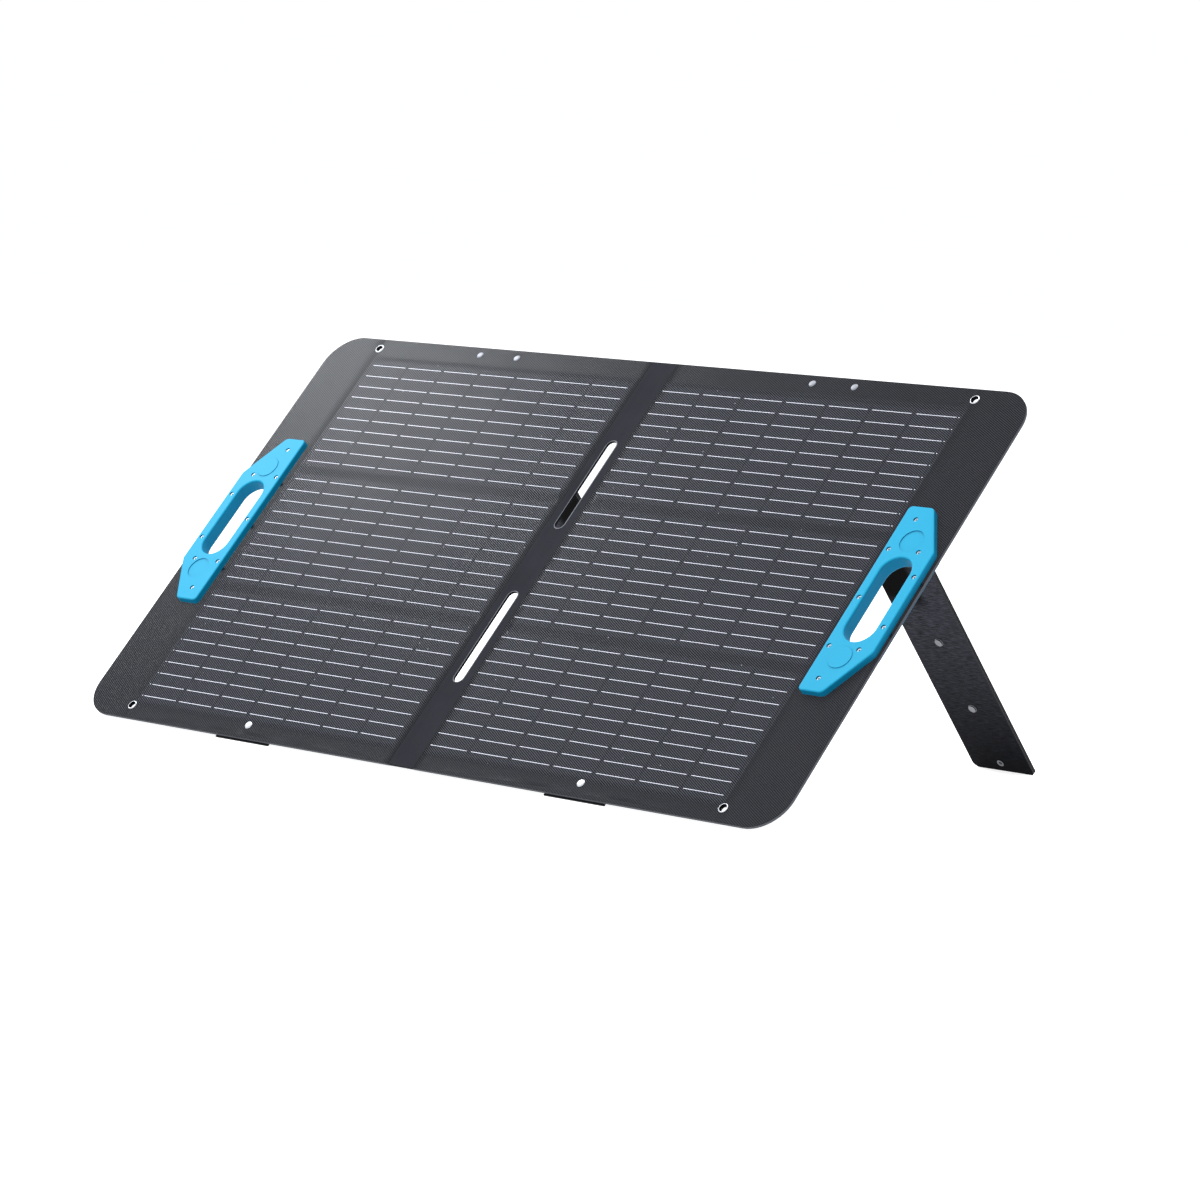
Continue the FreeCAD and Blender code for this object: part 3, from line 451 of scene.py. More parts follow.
def grid(x0, x1, y0, y1, step_x, step_y):
    """Points spread evenly over a rectangle, about step_x and step_y apart."""
    nx = max(1, round((x1 - x0) / step_x))
    ny = max(1, round((y1 - y0) / step_y))
    return [
        Vector((x0 + (x1 - x0) * i / nx, y0 + (y1 - y0) * j / ny))
        for i in range(nx + 1) for j in range(ny + 1)
    ]


def lathe(bm, profile, centre, count=48):
    """Turns (radius, z) pairs about z; radius 0 closes the form."""
    rows = []
    for radius, height in profile:
        if radius <= 0:
            rows.append([bm.verts.new((centre[0], centre[1], height))])
        else:
            rows.append([bm.verts.new((p.x, p.y, height)) for p in ring(centre, radius, count)])
    for one, other in zip(rows, rows[1:]):
        for k in range(count):
            j = k + 1
            quad = (one[k % len(one)], one[j % len(one)], other[j % len(other)], other[k % len(other)])
            bm.faces.new(list(dict.fromkeys(quad)))


def arched(bm, rows):
    """Skins rows of five points, each row a low arch, into a closed bead."""
    for one, other in zip(rows, rows[1:]):
        for k in range(4):
            bm.faces.new((one[k], other[k], other[k + 1], one[k + 1]))
        bm.faces.new((one[0], one[4], other[4], other[0]))
    bm.faces.new(rows[0])
    bm.faces.new(list(reversed(rows[-1])))


def smoothstep(low, high, value):
    """0 below low, 1 above high, smooth between."""
    t = max(0.0, min(1.0, (value - low) / (high - low)))
    return t * t * (3 - 2 * t)


# ---------------- sizes in millimetres that the CAD fixes

CORNER_RADIUS = 46.0
THICKNESS = 4.0  # of a half, from the film to the back skin
FILM_THICKNESS = 0.4
BACK_SKIN_THICKNESS = 0.6
PLATE_BACK = 6.0  # how far the mount plates and tabs reach behind the film
HAND_HOLE_INSET = 41.8  # middle of a hand hole, in from the outer edge
HAND_HOLE_REACH = 39.0  # half of its straight part
HAND_HOLE_RADIUS = 23.2
EYELET_HOLE_RADIUS = 5.05
ROW_PITCH = 194.4  # of the three rows of cells
ROW_MARGIN = 6.4  # half of the bare gap between two rows
SLOT_RADIUS = 7.5
SLOT_SPAN = (57.5, 181.0)  # ends of a slot's straight part, from mid height
SLEEVE_HOLE_RADIUS = 3.05
HINGE_CLOTH_ABOVE, HINGE_CLOTH_BELOW = 18, 24
HINGE_CLOTH_THICKNESS = 0.8
STRAP_END = 12  # flat part of the strap beyond each fastener
STRAP_THICKNESS = 1.0

# sizes that only the looks need
TWILL_X, TWILL_Y = 0.206, 0.388  # turns of the twill for each millimetre
DASH_INSET = 0.9  # bare cell at each end of a busbar dash
DASH_HALF = 0.44
DOT_PAST_CELL = 2.6  # from the outermost cell to the dots of the busbars
DOT_HALF_LENGTH, DOT_HALF = 0.8, 0.6
SLOT_CUT_RADIUS = 8.6  # of the cut in the fold cloth, hidden under the lip
HEM_INSET = 5.0
STITCH_PITCH, STITCH_WIDTH, STITCH_HEIGHT = 4.2, 0.75, 0.3
STRAP_ABOVE_LEG = 0.55  # from the leg's inner face to the middle of the strap

# measured on the CAD, as (lowest, highest) corners in the panel frame
cell_area = {side: span(f"{side}_cells") for side in SIDES}
cell_boxes = {side: islands(f"{side}_cells") for side in SIDES}
ribbon_boxes = {side: islands(f"{side}_busbar_ribbons") for side in SIDES}
film_area = {side: span(f"{side}_front_film") for side in SIDES}
strip_low, strip_high = span("fold_strip_front")
MID_HEIGHT = film_area["left"][1].y / 2
STRIP_HALF = strip_high.x


def columns(side):
    """Distance of the first cell from the fold line, the pitch of the cells and their width."""
    starts = sorted({round(min(abs(low.x), abs(high.x)), 2) for low, high in cell_boxes[side]})
    pitch = (starts[-1] - starts[0]) / (len(starts) - 1)
    low, high = cell_boxes[side][0]
    return starts[0], pitch, high.x - low.x


# ---------------- materials

def film_material(side):
    """Laminated film with a twill relief: strong over the cells, faint in the margins."""
    g = Graph(f"{side}_film")
    across = g.x * SIDES[side]
    low, high = cell_area[side]
    start, pitch, width = columns(side)
    outer = max(abs(low.x), abs(high.x))
    area = across.step(start - 10, start - 5) * (1.0 - across.step(outer + 5.5, outer + 8))
    area = area * g.y.step(low.y - 7, low.y - 3.5) * (1.0 - g.y.step(high.y + 3, high.y + 9))
    row = ((g.y - low.y + ROW_MARGIN) / ROW_PITCH + 0.5).fract() - 0.5
    row_gap = (1.0 - (row.abs() * ROW_PITCH).step(4.5, 9.0)) * area
    column = ((across - start + (pitch - width) / 2) / pitch + 0.5).fract() - 0.5
    column_gap = (1.0 - (column.abs() * pitch).step(0.5, 1.6)) * area
    patches = g.noise(0.006, 1.0)
    grain = g.noise(0.9, 2.0)
    phase = g.x * TWILL_X + g.y * TWILL_Y + g.noise(0.05, 1.0) * 0.5
    crest = phase.wave().step(0.38, 0.85)
    strength = area * 0.6 + 0.4
    threads = crest * strength * (0.45 + 1.1 * grain)
    # painted shade: the margin just past the outer cells is darkened, more on the left half than on the
    # right
    painted_shade_past_cells = across.step(outer + 5, outer + 8) * (1.0 - across.step(outer + 8, outer + 26))
    painted_shade_past_cells = painted_shade_past_cells * (0.3 if side == "left" else 0.15)
    # painted shade: the film darkens towards the fold strip
    painted_shade_by_fold = 1.0 - across.step(STRIP_HALF - 1, STRIP_HALF + 15)
    # the dark gaps between the cells, which are the film's own colour, joined with the painted shade above
    gaps_and_painted_shade = painted_shade_past_cells.max(row_gap * 0.3).max(column_gap * 0.28).max(painted_shade_by_fold * 0.75)
    dark = g.colour(srgb(3, 4, 5), srgb(5, 6, 8), patches)
    light = g.colour(srgb(67, 68, 75), srgb(73, 74, 82), patches)
    colour = g.colour(dark, light, threads)
    # one near-black colour for both the painted shade and the cell gaps
    colour = g.colour(colour, srgb(5, 5, 7), gaps_and_painted_shade)
    specks = g.specks(0.045, 0.03) * area
    colour = g.colour(colour, srgb(190, 190, 200), specks)
    relief = g.bump(crest * strength, 0.3, 0.8)
    relief = g.bump(grain, 0.05, 0.5, over=relief)
    rough = 0.39 + 0.15 * area - 0.34 * threads + 0.05 * grain + 0.25 * gaps_and_painted_shade
    return g.finish(colour, rough, relief, Specular_IOR_Level=0.035)


def busbar_material():
    """Tinned ribbon seen through the embossed film: bright, with beads where the twill crosses it."""
    g = Graph("busbar")
    phase = g.x * TWILL_X * 2 + g.y * TWILL_Y * 2
    bead = phase.wave() * 0.6 + g.noise(0.35, 2.0) * 0.5
    colour = g.colour(srgb(140, 141, 153), srgb(238, 239, 250), bead.step(0.1, 0.7))
    return g.finish(colour, 0.5 + 0.1 * g.noise(0.8), g.bump(bead, 0.06, 0.4), Specular_IOR_Level=0.3)


def ribbed_cloth():
    """Smooth coated cloth with fine ribs along the fold."""
    g = Graph("fold_cloth")
    fine = g.noise(1.4, 3.0)
    broad = g.noise(0.02, 2.0)
    rib = (g.x * 0.95).wave()
    colour = g.colour(srgb(26, 26, 30), srgb(50, 51, 56), rib * 0.3 + broad * 0.4 + fine * 0.3)
    relief = g.bump(rib, 0.03, 0.4)
    relief = g.bump(fine, 0.05, 0.35, over=relief)
    return g.finish(colour, 0.86 + 0.1 * fine, relief, Specular_IOR_Level=0.03)


def woven(name, pitch, low, high, place=PANEL, roughness=0.78, depth=0.12):
    """Plain weave: threads pass over and under each other, with uneven yarn and slight fading."""
    g = Graph(name, place)
    warp = (g.x / pitch).wave()
    weft = (g.y / pitch).wave()
    column = ((g.x / pitch / 2).fract() - 0.5).step(-0.02, 0.02)
    row = ((g.y / pitch / 2).fract() - 0.5).step(-0.02, 0.02)
    over = (column - row).abs()
    weave = warp * over + weft * (1.0 - over)
    yarn = g.noise(0.7, 3.0)
    fade = g.noise(0.01, 2.0)
    colour = g.colour(low, high, weave * 0.45 + yarn * 0.3 + fade * 0.35)
    relief = g.bump(weave, depth, 0.8)
    relief = g.bump(yarn, depth * 0.4, 0.4, over=relief)
    return g.finish(colour, roughness + 0.12 * yarn, relief, Specular_IOR_Level=0.25, Sheen_Weight=0.08)


def leg_cloth():
    """Coated cloth with a fine, wavy crosswise streak, darker at the foot, with a painted shadow of the
    panel high on the inner face.
    """
    g = Graph("leg_cloth", LEG)
    streak = g.noise(0.5, 3.0, stretch=(0.16, 1.7, 1.0), roughness=0.6)
    fine = g.noise(1.6, 2.0)
    down = g.y.step(-600, -230)
    # painted shadow: the panel's shadow on the upper inner face of the leg, near-black
    painted_panel_shadow = (1.0 - g.x.abs().step(280, 298)) * g.y.step(-325, -295) * g.z.step(-4.0, -2.0)
    low = g.colour(srgb(2, 2, 3), srgb(8, 8, 10), down)
    high = g.colour(srgb(24, 25, 29), srgb(80, 81, 90), down)
    colour = g.colour(low, high, streak.step(0.38, 0.66) * 0.6 + fine.step(0.3, 0.7) * 0.4)
    colour = g.colour(colour, srgb(1, 1, 1), painted_panel_shadow)
    relief = g.bump(streak, 0.25, 0.7)
    relief = g.bump(fine, 0.06, 0.4, over=relief)
    return g.finish(colour, 0.65 + 0.15 * streak, relief, Specular_IOR_Level=0.03)


def webbing_material():
    """Flat woven webbing: ribs along the strap crossed by fine picks."""
    g = Graph("webbing", LEG)
    rib = (g.x / 1.9).wave()
    pick = ((g.y + g.z) / 0.9).wave()
    yarn = g.noise(0.9, 3.0)
    colour = g.colour(srgb(22, 22, 25), srgb(52, 52, 58), rib * 0.35 + pick * 0.25 + yarn * 0.4)
    relief = g.bump(rib * 0.7 + pick * 0.3, 0.15, 0.8)
    return g.finish(colour, 0.75 + 0.1 * yarn, relief, Specular_IOR_Level=0.25, Sheen_Weight=0.1)


def moulded(name, low, high, roughness=0.42, grain_depth=0.03, shade=None):
    """Moulded plastic with a fine grain and, where a wall colour is given, painted shade on the side walls.
    """
    g = Graph(name)
    grain = g.noise(1.8, 3.0)
    broad = g.noise(0.015, 2.0)
    colour = g.colour(low, high, broad * 0.6 + grain * 0.2)
    # painted shade: walls that face neither front nor back take the darker wall colour
    if shade:
        flat = g.facing(OUT).abs().step(0.35, 0.93)
        colour = g.colour(shade, colour, flat)
    relief = g.bump(grain, grain_depth, 0.5)
    return g.finish(colour, roughness + 0.08 * grain - 0.04 * broad, relief, Specular_IOR_Level=0.08)


def metal(name, colour_low, colour_high, roughness, place=PANEL, metallic=1.0, specular=0.5):
    """Turned or pressed metal with faint scratches and a little tarnish."""
    g = Graph(name, place)
    scratch = g.noise(1.1, 4.0, stretch=(0.4, 2.5, 1.0))
    tarnish = g.noise(0.25, 3.0)
    colour = g.colour(colour_low, colour_high, tarnish * 0.6 + scratch * 0.4)
    relief = g.bump(scratch, 0.02, 0.4)
    return g.finish(
        colour, roughness + 0.15 * scratch, relief, Metallic=metallic, Specular_IOR_Level=specular)


def board_material():
    """Dark laminated board, painted paler on its cut edges as a painted highlight, where the plies show as
    fine lines.
    """
    g = Graph("core_board")
    ply = (g.z / 0.65).wave()
    grain = g.noise(0.8, 3.0)
    colour = g.colour(srgb(14, 14, 16), srgb(30, 30, 34), ply * 0.5 + grain * 0.5)
    # painted highlight: walls that face neither front nor back are painted paler
    edge = 1.0 - g.facing(OUT).abs().step(0.2, 0.6)
    colour = g.colour(colour, srgb(76, 78, 84), edge * (0.55 + 0.45 * grain))
    relief = g.bump(ply * 0.6 + grain * 0.4, 0.05, 0.6)
    return g.finish(colour, 0.6 + 0.2 * grain, relief, Specular_IOR_Level=0.3)


def cell_material():
    """Dark blue silicon with fine contact lines."""
    g = Graph("cell")
    finger = (g.y / 1.3).wave()
    tint = g.noise(0.03, 2.0)
    colour = g.colour(srgb(14, 16, 24), srgb(24, 28, 42), tint * 0.7 + finger * 0.3)
    return g.finish(colour, 0.3 + 0.1 * tint, g.bump(finger, 0.01, 0.3), Specular_IOR_Level=0.5)


film = {side: film_material(side) for side in SIDES}
busbar = busbar_material()
fold_cloth = ribbed_cloth()
back_cloth = woven("black_cloth", 1.1, srgb(24, 24, 27), srgb(52, 52, 57))
hinge_cloth = woven("hinge_cloth", 0.9, srgb(20, 20, 23), srgb(44, 44, 49), LEG)
leg_face = leg_cloth()
leg_side = woven("leg_side", 0.7, srgb(10, 10, 12), srgb(24, 24, 27), LEG)
webbing = webbing_material()
thread = woven("thread", 0.5, srgb(60, 60, 66), srgb(96, 96, 102), roughness=0.7, depth=0.05)
# painted shade on the side walls of the handles and of the slot lips
blue = moulded("blue_plastic", srgb(22, 141, 176), srgb(28, 147, 182), 0.5, shade=srgb(5, 104, 138))
slot_edge = moulded("slot_edge", srgb(104, 106, 112), srgb(124, 126, 132), 0.6, shade=srgb(3, 3, 4))
black_plastic = moulded("black_plastic", srgb(9, 9, 10), srgb(18, 18, 20), 0.5, 0.05)
box_plastic = moulded("box_plastic", srgb(20, 20, 22), srgb(36, 36, 40), 0.48, 0.08)
rubber = moulded("seal_rubber", srgb(16, 16, 17), srgb(28, 28, 30), 0.75, 0.04)
terminal = moulded("terminal_plastic", srgb(120, 122, 124), srgb(150, 152, 155), 0.5)
epoxy = moulded("diode_black", srgb(14, 14, 15), srgb(26, 26, 28), 0.35)
encapsulant = moulded("encapsulant", srgb(40, 40, 46), srgb(50, 50, 56), 0.5)
bright = metal("rivet_metal", srgb(178, 180, 185), srgb(206, 208, 213), 0.35, metallic=0.5)
silver = metal("eyelet_metal", srgb(170, 172, 177), srgb(206, 208, 212), 0.3, metallic=0.7)
# painted shade: a near-black, non-metal colour for the eyelet bores and the side walls of the leg snaps
painted_shade_black = metal("eyelet_bore", srgb(2, 2, 3), srgb(9, 9, 11), 0.6, metallic=0.0, specular=0.03)
rivet_grey = metal("rivet_grey", srgb(112, 114, 120), srgb(140, 142, 148), 0.45, metallic=0.5)
snap_grey = metal("snap_metal", srgb(96, 97, 102), srgb(128, 129, 134), 0.4, LEG, metallic=0.6)
steel = metal("screw_steel", srgb(150, 155, 160), srgb(196, 200, 205), 0.4, metallic=0.6)
magnet = metal("magnet", srgb(150, 152, 156), srgb(190, 192, 196), 0.2)
board = board_material()
cell = cell_material()

NODE_MATERIALS = {
    "encapsulant": encapsulant, "core_board": board, "cells": cell, "cross_connectors": busbar,
    "handle_front_shell": blue, "handle_rear_shell": blue, "handle_screws": steel, "handle_magnets": magnet,
    "leg_core": board, "bottom_tab": black_plastic, "leg_mount": black_plastic, "strap_snap": snap_grey,
    "strap_anchor": bright,
    "junction_box_base": box_plastic, "junction_box_lid": box_plastic, "junction_box_gasket": rubber,
    "junction_box_screws": steel, "junction_box_terminal_block": terminal, "junction_box_diodes": epoxy,
    "cable_gland": box_plastic, "cable_gland_nut": box_plastic,
}
for name, item in frame["nodes"].items():
    key = name.removeprefix("left_").removeprefix("right_")
    if key in NODE_MATERIALS:
        item.data.materials.clear()
        item.data.materials.append(NODE_MATERIALS[key])
for name in ("junction_box_base", "junction_box_lid", "cable_gland_nut"):
    add_bevel(frame["nodes"][name], 0.6)
for side in SIDES:
    for key in ("bottom_tab", "leg_mount"):
        add_bevel(frame["nodes"][f"{side}_{key}"], 0.4)


# ---------------- the two halves

def half_outline(side, inset=0.0, count=12):
    """Outline of a half, moved in by inset: round at the outer corners, square at the fold."""
    low, high = film_area[side]
    x0, x1 = low.x + inset, high.x - inset
    y0, y1 = low.y + inset, high.y - inset
    radius = CORNER_RADIUS - inset
    if side == "left":
        corners = [(x1, y0, 0), (x1, y1, 0), (x0, y1, radius), (x0, y0, radius)]
    else:
        corners = [(x0, y1, 0), (x0, y0, 0), (x1, y0, radius), (x1, y1, radius)]
    return rounded(corners, count)


def through_holes(side):
    """Outlines of the hand hole and the eyelet holes of a half."""
    middle = SIDES[side] * (max(abs(v.x) for v in film_area[side]) - HAND_HOLE_INSET)
    loops = [stadium(middle, MID_HEIGHT - HAND_HOLE_REACH, MID_HEIGHT + HAND_HOLE_REACH, HAND_HOLE_RADIUS)]
    for centre in centres(f"{side}_eyelets"):
        loops.append(ring(centre, EYELET_HOLE_RADIUS))
    return loops


def face_relief(side):
    """The front face: the cells stand slightly proud, and the sheet is not quite even."""
    low, high = cell_area[side]

    def top(x, y):
        over = smoothstep(low.x - 14, low.x - 3, x) * (1 - smoothstep(high.x + 3, high.x + 14, x))
        over *= smoothstep(low.y - 12, low.y - 2, y) * (1 - smoothstep(high.y + 2, high.y + 12, y))
        row = (y - low.y + ROW_MARGIN) / ROW_PITCH
        dip = math.exp(-((row - round(row)) * ROW_PITCH / 5.0) ** 2)
        even = math.sin(x * 0.031 + 1.7) * math.sin(y * 0.027 + 0.6) + 0.6 * math.sin(x * 0.071 + y * 0.043)
        return over * (0.22 - 0.1 * dip) + 0.06 * even
    return top


def front_face(side):
    """The film of a half."""
    low, high = film_area[side]
    bm = slab(
        half_outline(side), through_holes(side), grid(low.x, high.x, low.y, high.y, 5.6, 5.6),
        face_relief(side), lambda x, y: -FILM_THICKNESS, gap=2.0)
    piece(
        f"{side}_front_face", bm, PANEL, f"{side}_panel", film[side], [f"{side}_front_film"],
        bevel=0.12)


def busbars(side):
    """One bright dash for each cell and line, with a fine dot past the outer end of some lines."""
    bm = bmesh.new()
    top = face_relief(side)
    xs = sorted({(round(low.x, 3), round(high.x, 3)) for low, high in cell_boxes[side]})
    edge = max(max(abs(a), abs(b)) for a, b in xs)
    dot = SIDES[side] * (edge + DOT_PAST_CELL)

    def dash(x0, x1, y, half):
        stations = [x0, x0 + 0.35]
        count = max(1, round((x1 - x0) / 7))
        stations += [x0 + (x1 - x0) * k / count for k in range(1, count)]
        stations += [x1 - 0.35, x1]
        arches = []
        profile = ((-half, -0.05), (-half * 0.6, 0.09), (0, 0.13), (half * 0.6, 0.09), (half, -0.05))
        for index, x in enumerate(stations):
            taper = 0.35 if index in (0, len(stations) - 1) else 1.0
            z = top(x, y)
            arches.append([
                bm.verts.new((x, y + dy * taper, z + dz * (taper if dz > 0 else 1))) for dy, dz in profile])
        arched(bm, arches)

    for index, (low, high) in enumerate(ribbon_boxes[side]):
        y = (low.y + high.y) / 2
        for x0, x1 in xs:
            dash(x0 + DASH_INSET, x1 - DASH_INSET, y, DASH_HALF)
        dotted = index < 10 if side == "left" else index >= 20
        if dotted:
            dash(dot - DOT_HALF_LENGTH, dot + DOT_HALF_LENGTH, y, DOT_HALF)
    piece(f"{side}_busbars", bm, PANEL, f"{side}_panel", busbar, [f"{side}_busbar_ribbons"])


def back_face(side):
    """The cloth of the back."""
    low, high = film_area[side]
    bm = slab(
        half_outline(side), through_holes(side), grid(low.x, high.x, low.y, high.y, 16, 16),
        lambda x, y: -THICKNESS + BACK_SKIN_THICKNESS, lambda x, y: -THICKNESS, gap=3.0)
    item = piece(
        f"{side}_back_face", bm, PANEL, f"{side}_panel", back_cloth, [f"{side}_back_skin"],
        bevel=0.2)


def hem_stitching(side):
    """A run of stitches round the back of a half, each a small rounded bead of thread."""
    bm = bmesh.new()
    path = half_outline(side, HEM_INSET, 8)
    for start, end in zip(path, path[1:] + path[:1]):
        run = end - start
        count = max(1, round(run.length / STITCH_PITCH))
        along = run / run.length
        sideways = Vector((-along.y, along.x))
        for k in range(count):
            middle = start + run * ((k + 0.5) / count)
            rows = []
            for t, swell in ((-0.36, 0.35), (-0.22, 0.9), (0, 1.0), (0.22, 0.9), (0.36, 0.35)):
                centre = middle + along * (t * STITCH_PITCH)
                row = []
                for across, rise in ((-0.5, 0.0), (-0.35, 0.8), (0.0, 1.0), (0.35, 0.8), (0.5, 0.0)):
                    p = centre + sideways * (across * STITCH_WIDTH * swell)
                    z = -THICKNESS - (rise * swell - 0.1) * STITCH_HEIGHT
                    row.append(bm.verts.new((p.x, p.y, z)))
                rows.append(row)
            arched(bm, rows)
    piece(f"{side}_hem_stitching", bm, PANEL, f"{side}_panel", thread)


# profiles of the turned fasteners, as (radius, z)
EYELET = [
    (6.25, 0.0), (6.3, 0.25), (6.1, 0.6), (5.6, 0.88), (5.1, 0.85), (4.75, 0.6), (4.55, 0.3), (4.5, 0.0),
    (4.5, -2.0), (4.5, -4.0), (4.6, -4.4), (5.2, -4.85), (5.9, -4.75), (6.3, -4.3), (6.25, -4.0)]
RIVET_HEAD = [
    (0, 1.28), (2.6, 1.26), (3.3, 1.18), (3.9, 1.02), (4.35, 0.78), (4.65, 0.45), (4.78, 0.2), (4.8, 0.0)]
RIVET_TAIL = [
    (1.7, 0.0), (1.7, -PLATE_BACK), (4.05, -PLATE_BACK), (4.0, -PLATE_BACK - 0.3),
    (3.6, -PLATE_BACK - 0.55), (0, -PLATE_BACK - 0.58)]
BACK_SOCKET = [
    (2.3, -4.06), (3.99, -4.06), (3.99, -6.0), (4.9, -6.0), (4.95, -6.12), (4.7, -6.28), (2.7, -6.28),
    (2.35, -6.1), (2.3, -4.06)]
LEG_CAP = [
    (3.0, 0.0), (3.0, -5.6), (5.3, -5.6), (5.5, -5.8), (5.4, -6.2), (4.6, -6.6), (3.0, -6.85), (0, -6.9)]
LEG_STUD = [
    (0, 2.58), (1.0, 2.52), (1.6, 2.25), (1.93, 1.75), (1.85, 1.3), (1.6, 1.0), (1.6, 0.5), (2.2, 0.4),
    (4.7, 0.38), (4.9, 0.2), (4.9, 0.0)]
LEG_DISC = [
    (0, 1.72), (3.6, 1.76), (4.6, 1.8), (5.0, 1.76), (5.3, 1.6), (5.45, 1.3), (5.45, 0.45), (5.6, 0.3),
    (5.85, 0.28), (6.0, 0.15), (6.0, 0.0)]
LEG_SOCKET = [(0, -3.2), (2.3, -3.2), (2.3, 0.0), (2.5, 0.05), (4.6, 0.05), (4.9, 0.04), (4.95, 0.0)]


def fasteners(side):
    """Eyelets, rivets and the bottom snap, as smooth turned pieces."""
    body = f"{side}_panel"
    eyelets = centres(f"{side}_eyelets")
    bm = bmesh.new()
    for centre in eyelets:
        lathe(bm, EYELET, centre, 56)
    # painted shade inside the eyelet bores
    for face in bm.faces:
        middle = face.calc_center_median()
        if -4.0 < middle.z < 0.86 and min((middle.xy - c).length for c in eyelets) < 5.5:
            face.material_index = 1
    piece(f"{side}_eyelet_rings", bm, PANEL, body, [silver, painted_shade_black], [f"{side}_eyelets"])

    bm = bmesh.new()
    for centre in centres(f"{side}_top_rivets"):
        lathe(bm, RIVET_HEAD + RIVET_TAIL, centre)
    piece(f"{side}_top_rivet_heads", bm, PANEL, body, rivet_grey, [f"{side}_top_rivets"])

    bm = bmesh.new()
    boxes = sorted(islands(f"{side}_bottom_snap"), key=lambda pair: -pair[1].z)
    rivet, socket = (((low + high) / 2).xy for low, high in boxes)
    wide = [(radius * 5.2 / 4.8, z) for radius, z in RIVET_HEAD]
    lathe(bm, wide + RIVET_TAIL, rivet)
    lathe(bm, BACK_SOCKET, socket)
    piece(f"{side}_bottom_snap_metal", bm, PANEL, body, bright, [f"{side}_bottom_snap"])


def leg_fasteners(side):
    """The snap parts of a leg: a stud, a disc or a socket, told apart by how far each stands out."""
    bm = bmesh.new()
    for low, high in islands(f"{side}_leg_snaps", LEG):
        front = LEG_STUD if high.z > 2 else LEG_DISC if high.z > 1 else LEG_SOCKET
        lathe(bm, front + LEG_CAP, ((low + high) / 2).xy)
    # painted shade on the side walls of the snaps
    for face in bm.faces:
        if 0.4 < face.calc_center_median().z < 1.5 and abs(face.normal.z) < 0.5:
            face.material_index = 1
    piece(
        f"{side}_leg_snap_metal", bm, LEG, f"{side}_leg", [snap_grey, painted_shade_black],
        [f"{side}_leg_snaps"])


def leg_sleeve(side):
    """The cloth sleeve of a leg: both faces, with rounded edges and a welded seam round the sides."""
    low, high = span(f"{side}_leg_outer_cover", LEG)
    thick = -low.z
    left_radius, right_radius = (4, 9) if side == "left" else (9, 4)
    outline = rounded([
        (low.x, low.y, left_radius), (high.x, low.y, right_radius), (high.x, high.y, 0), (low.x, high.y, 0)])
    snaps = centres(f"{side}_leg_snaps", LEG)
    holes = [ring(centre, SLEEVE_HOLE_RADIUS) for centre in snaps]
    verts, faces = filled(outline, holes, grid(low.x, high.x, low.y, high.y, 9, 9), 2.5)
    bm = bmesh.new()

    def uneven(x, y):
        return -0.12 * (0.5 + 0.5 * math.sin(x * 0.09 + 0.7) * math.sin(y * 0.035 + 1.1))

    upper = [bm.verts.new((v.x, v.y, uneven(v.x, v.y))) for v in verts]
    lower = [bm.verts.new((v.x, v.y, -thick - uneven(v.x, -v.y))) for v in verts]
    rim = skins(bm, faces, upper, lower)
    side_rows = {}
    levels = ((-0.9, 0.0), (-2.2, 0.45), (-2.8, 0.0), (-3.4, 0.45), (-thick + 0.9, 0.0))
    centre_x = (low.x + high.x) / 2
    for k in {k for pair in rim for k in pair}:
        x, y = verts[k]
        in_hole = any((Vector((x, y)) - snap).length < SLEEVE_HOLE_RADIUS + 0.25 for snap in snaps)
        chain = []
        for z, inset in levels:
            if in_hole:
                chain.append(bm.verts.new((x, y, z)))
            else:
                shift = inset if x < centre_x else -inset
                lift = inset if y < low.y + 2 else 0.0
                chain.append(bm.verts.new((x + (shift if abs(x - centre_x) > 20 else 0), y + lift, z)))
        side_rows[k] = [upper[k], *chain, lower[k]]
    for a, b in rim:
        for one, other in zip(range(6), range(1, 7)):
            face = bm.faces.new(
                (side_rows[b][one], side_rows[a][one], side_rows[a][other], side_rows[b][other]))
            face.material_index = 1
    drop_loose(bm)
    piece(
        f"{side}_leg_sleeve", bm, LEG, f"{side}_leg", [leg_face, leg_side],
        [f"{side}_leg_inner_cover", f"{side}_leg_outer_cover"], bevel=0.5)


# ---------------- cloth across the joints

def ribbon_mesh(path, half_width, middle_x, thickness, count=12, edge=0.0):
    """A flat ribbon of constant thickness along (y, z) points, closed, in a local frame."""
    bm = bmesh.new()
    points = [Vector(p) for p in path]
    rows = []
    for index, point in enumerate(points):
        before = points[max(index - 1, 0)]
        after = points[min(index + 1, len(points) - 1)]
        run = (after - before).normalized()
        normal = Vector((-run.y, run.x))
        row = []
        for sign in (0.5, -0.5):
            for k in range(count + 1):
                t = -1 + 2 * k / count
                thin = 1.0 - edge * max(0.0, abs(t) - 0.9) * 10
                p = point + normal * (sign * thickness * thin)
                row.append(bm.verts.new((middle_x + t * half_width, p.x, p.y)))
        rows.append(row)
    n = count + 1
    for one, other in zip(rows, rows[1:]):
        for k in range(count):
            bm.faces.new((one[k], one[k + 1], other[k + 1], other[k]))
            bm.faces.new((one[n + k], other[n + k], other[n + k + 1], one[n + k + 1]))
        bm.faces.new((one[0], other[0], other[n], one[n]))
        bm.faces.new((one[n - 1], one[2 * n - 1], other[2 * n - 1], other[n - 1]))
    for row, flip in ((rows[0], False), (rows[-1], True)):
        for k in range(count):
            quad = (row[k], row[k + 1], row[n + k + 1], row[n + k])
            bm.faces.new(tuple(reversed(quad)) if flip else quad)
    return bm


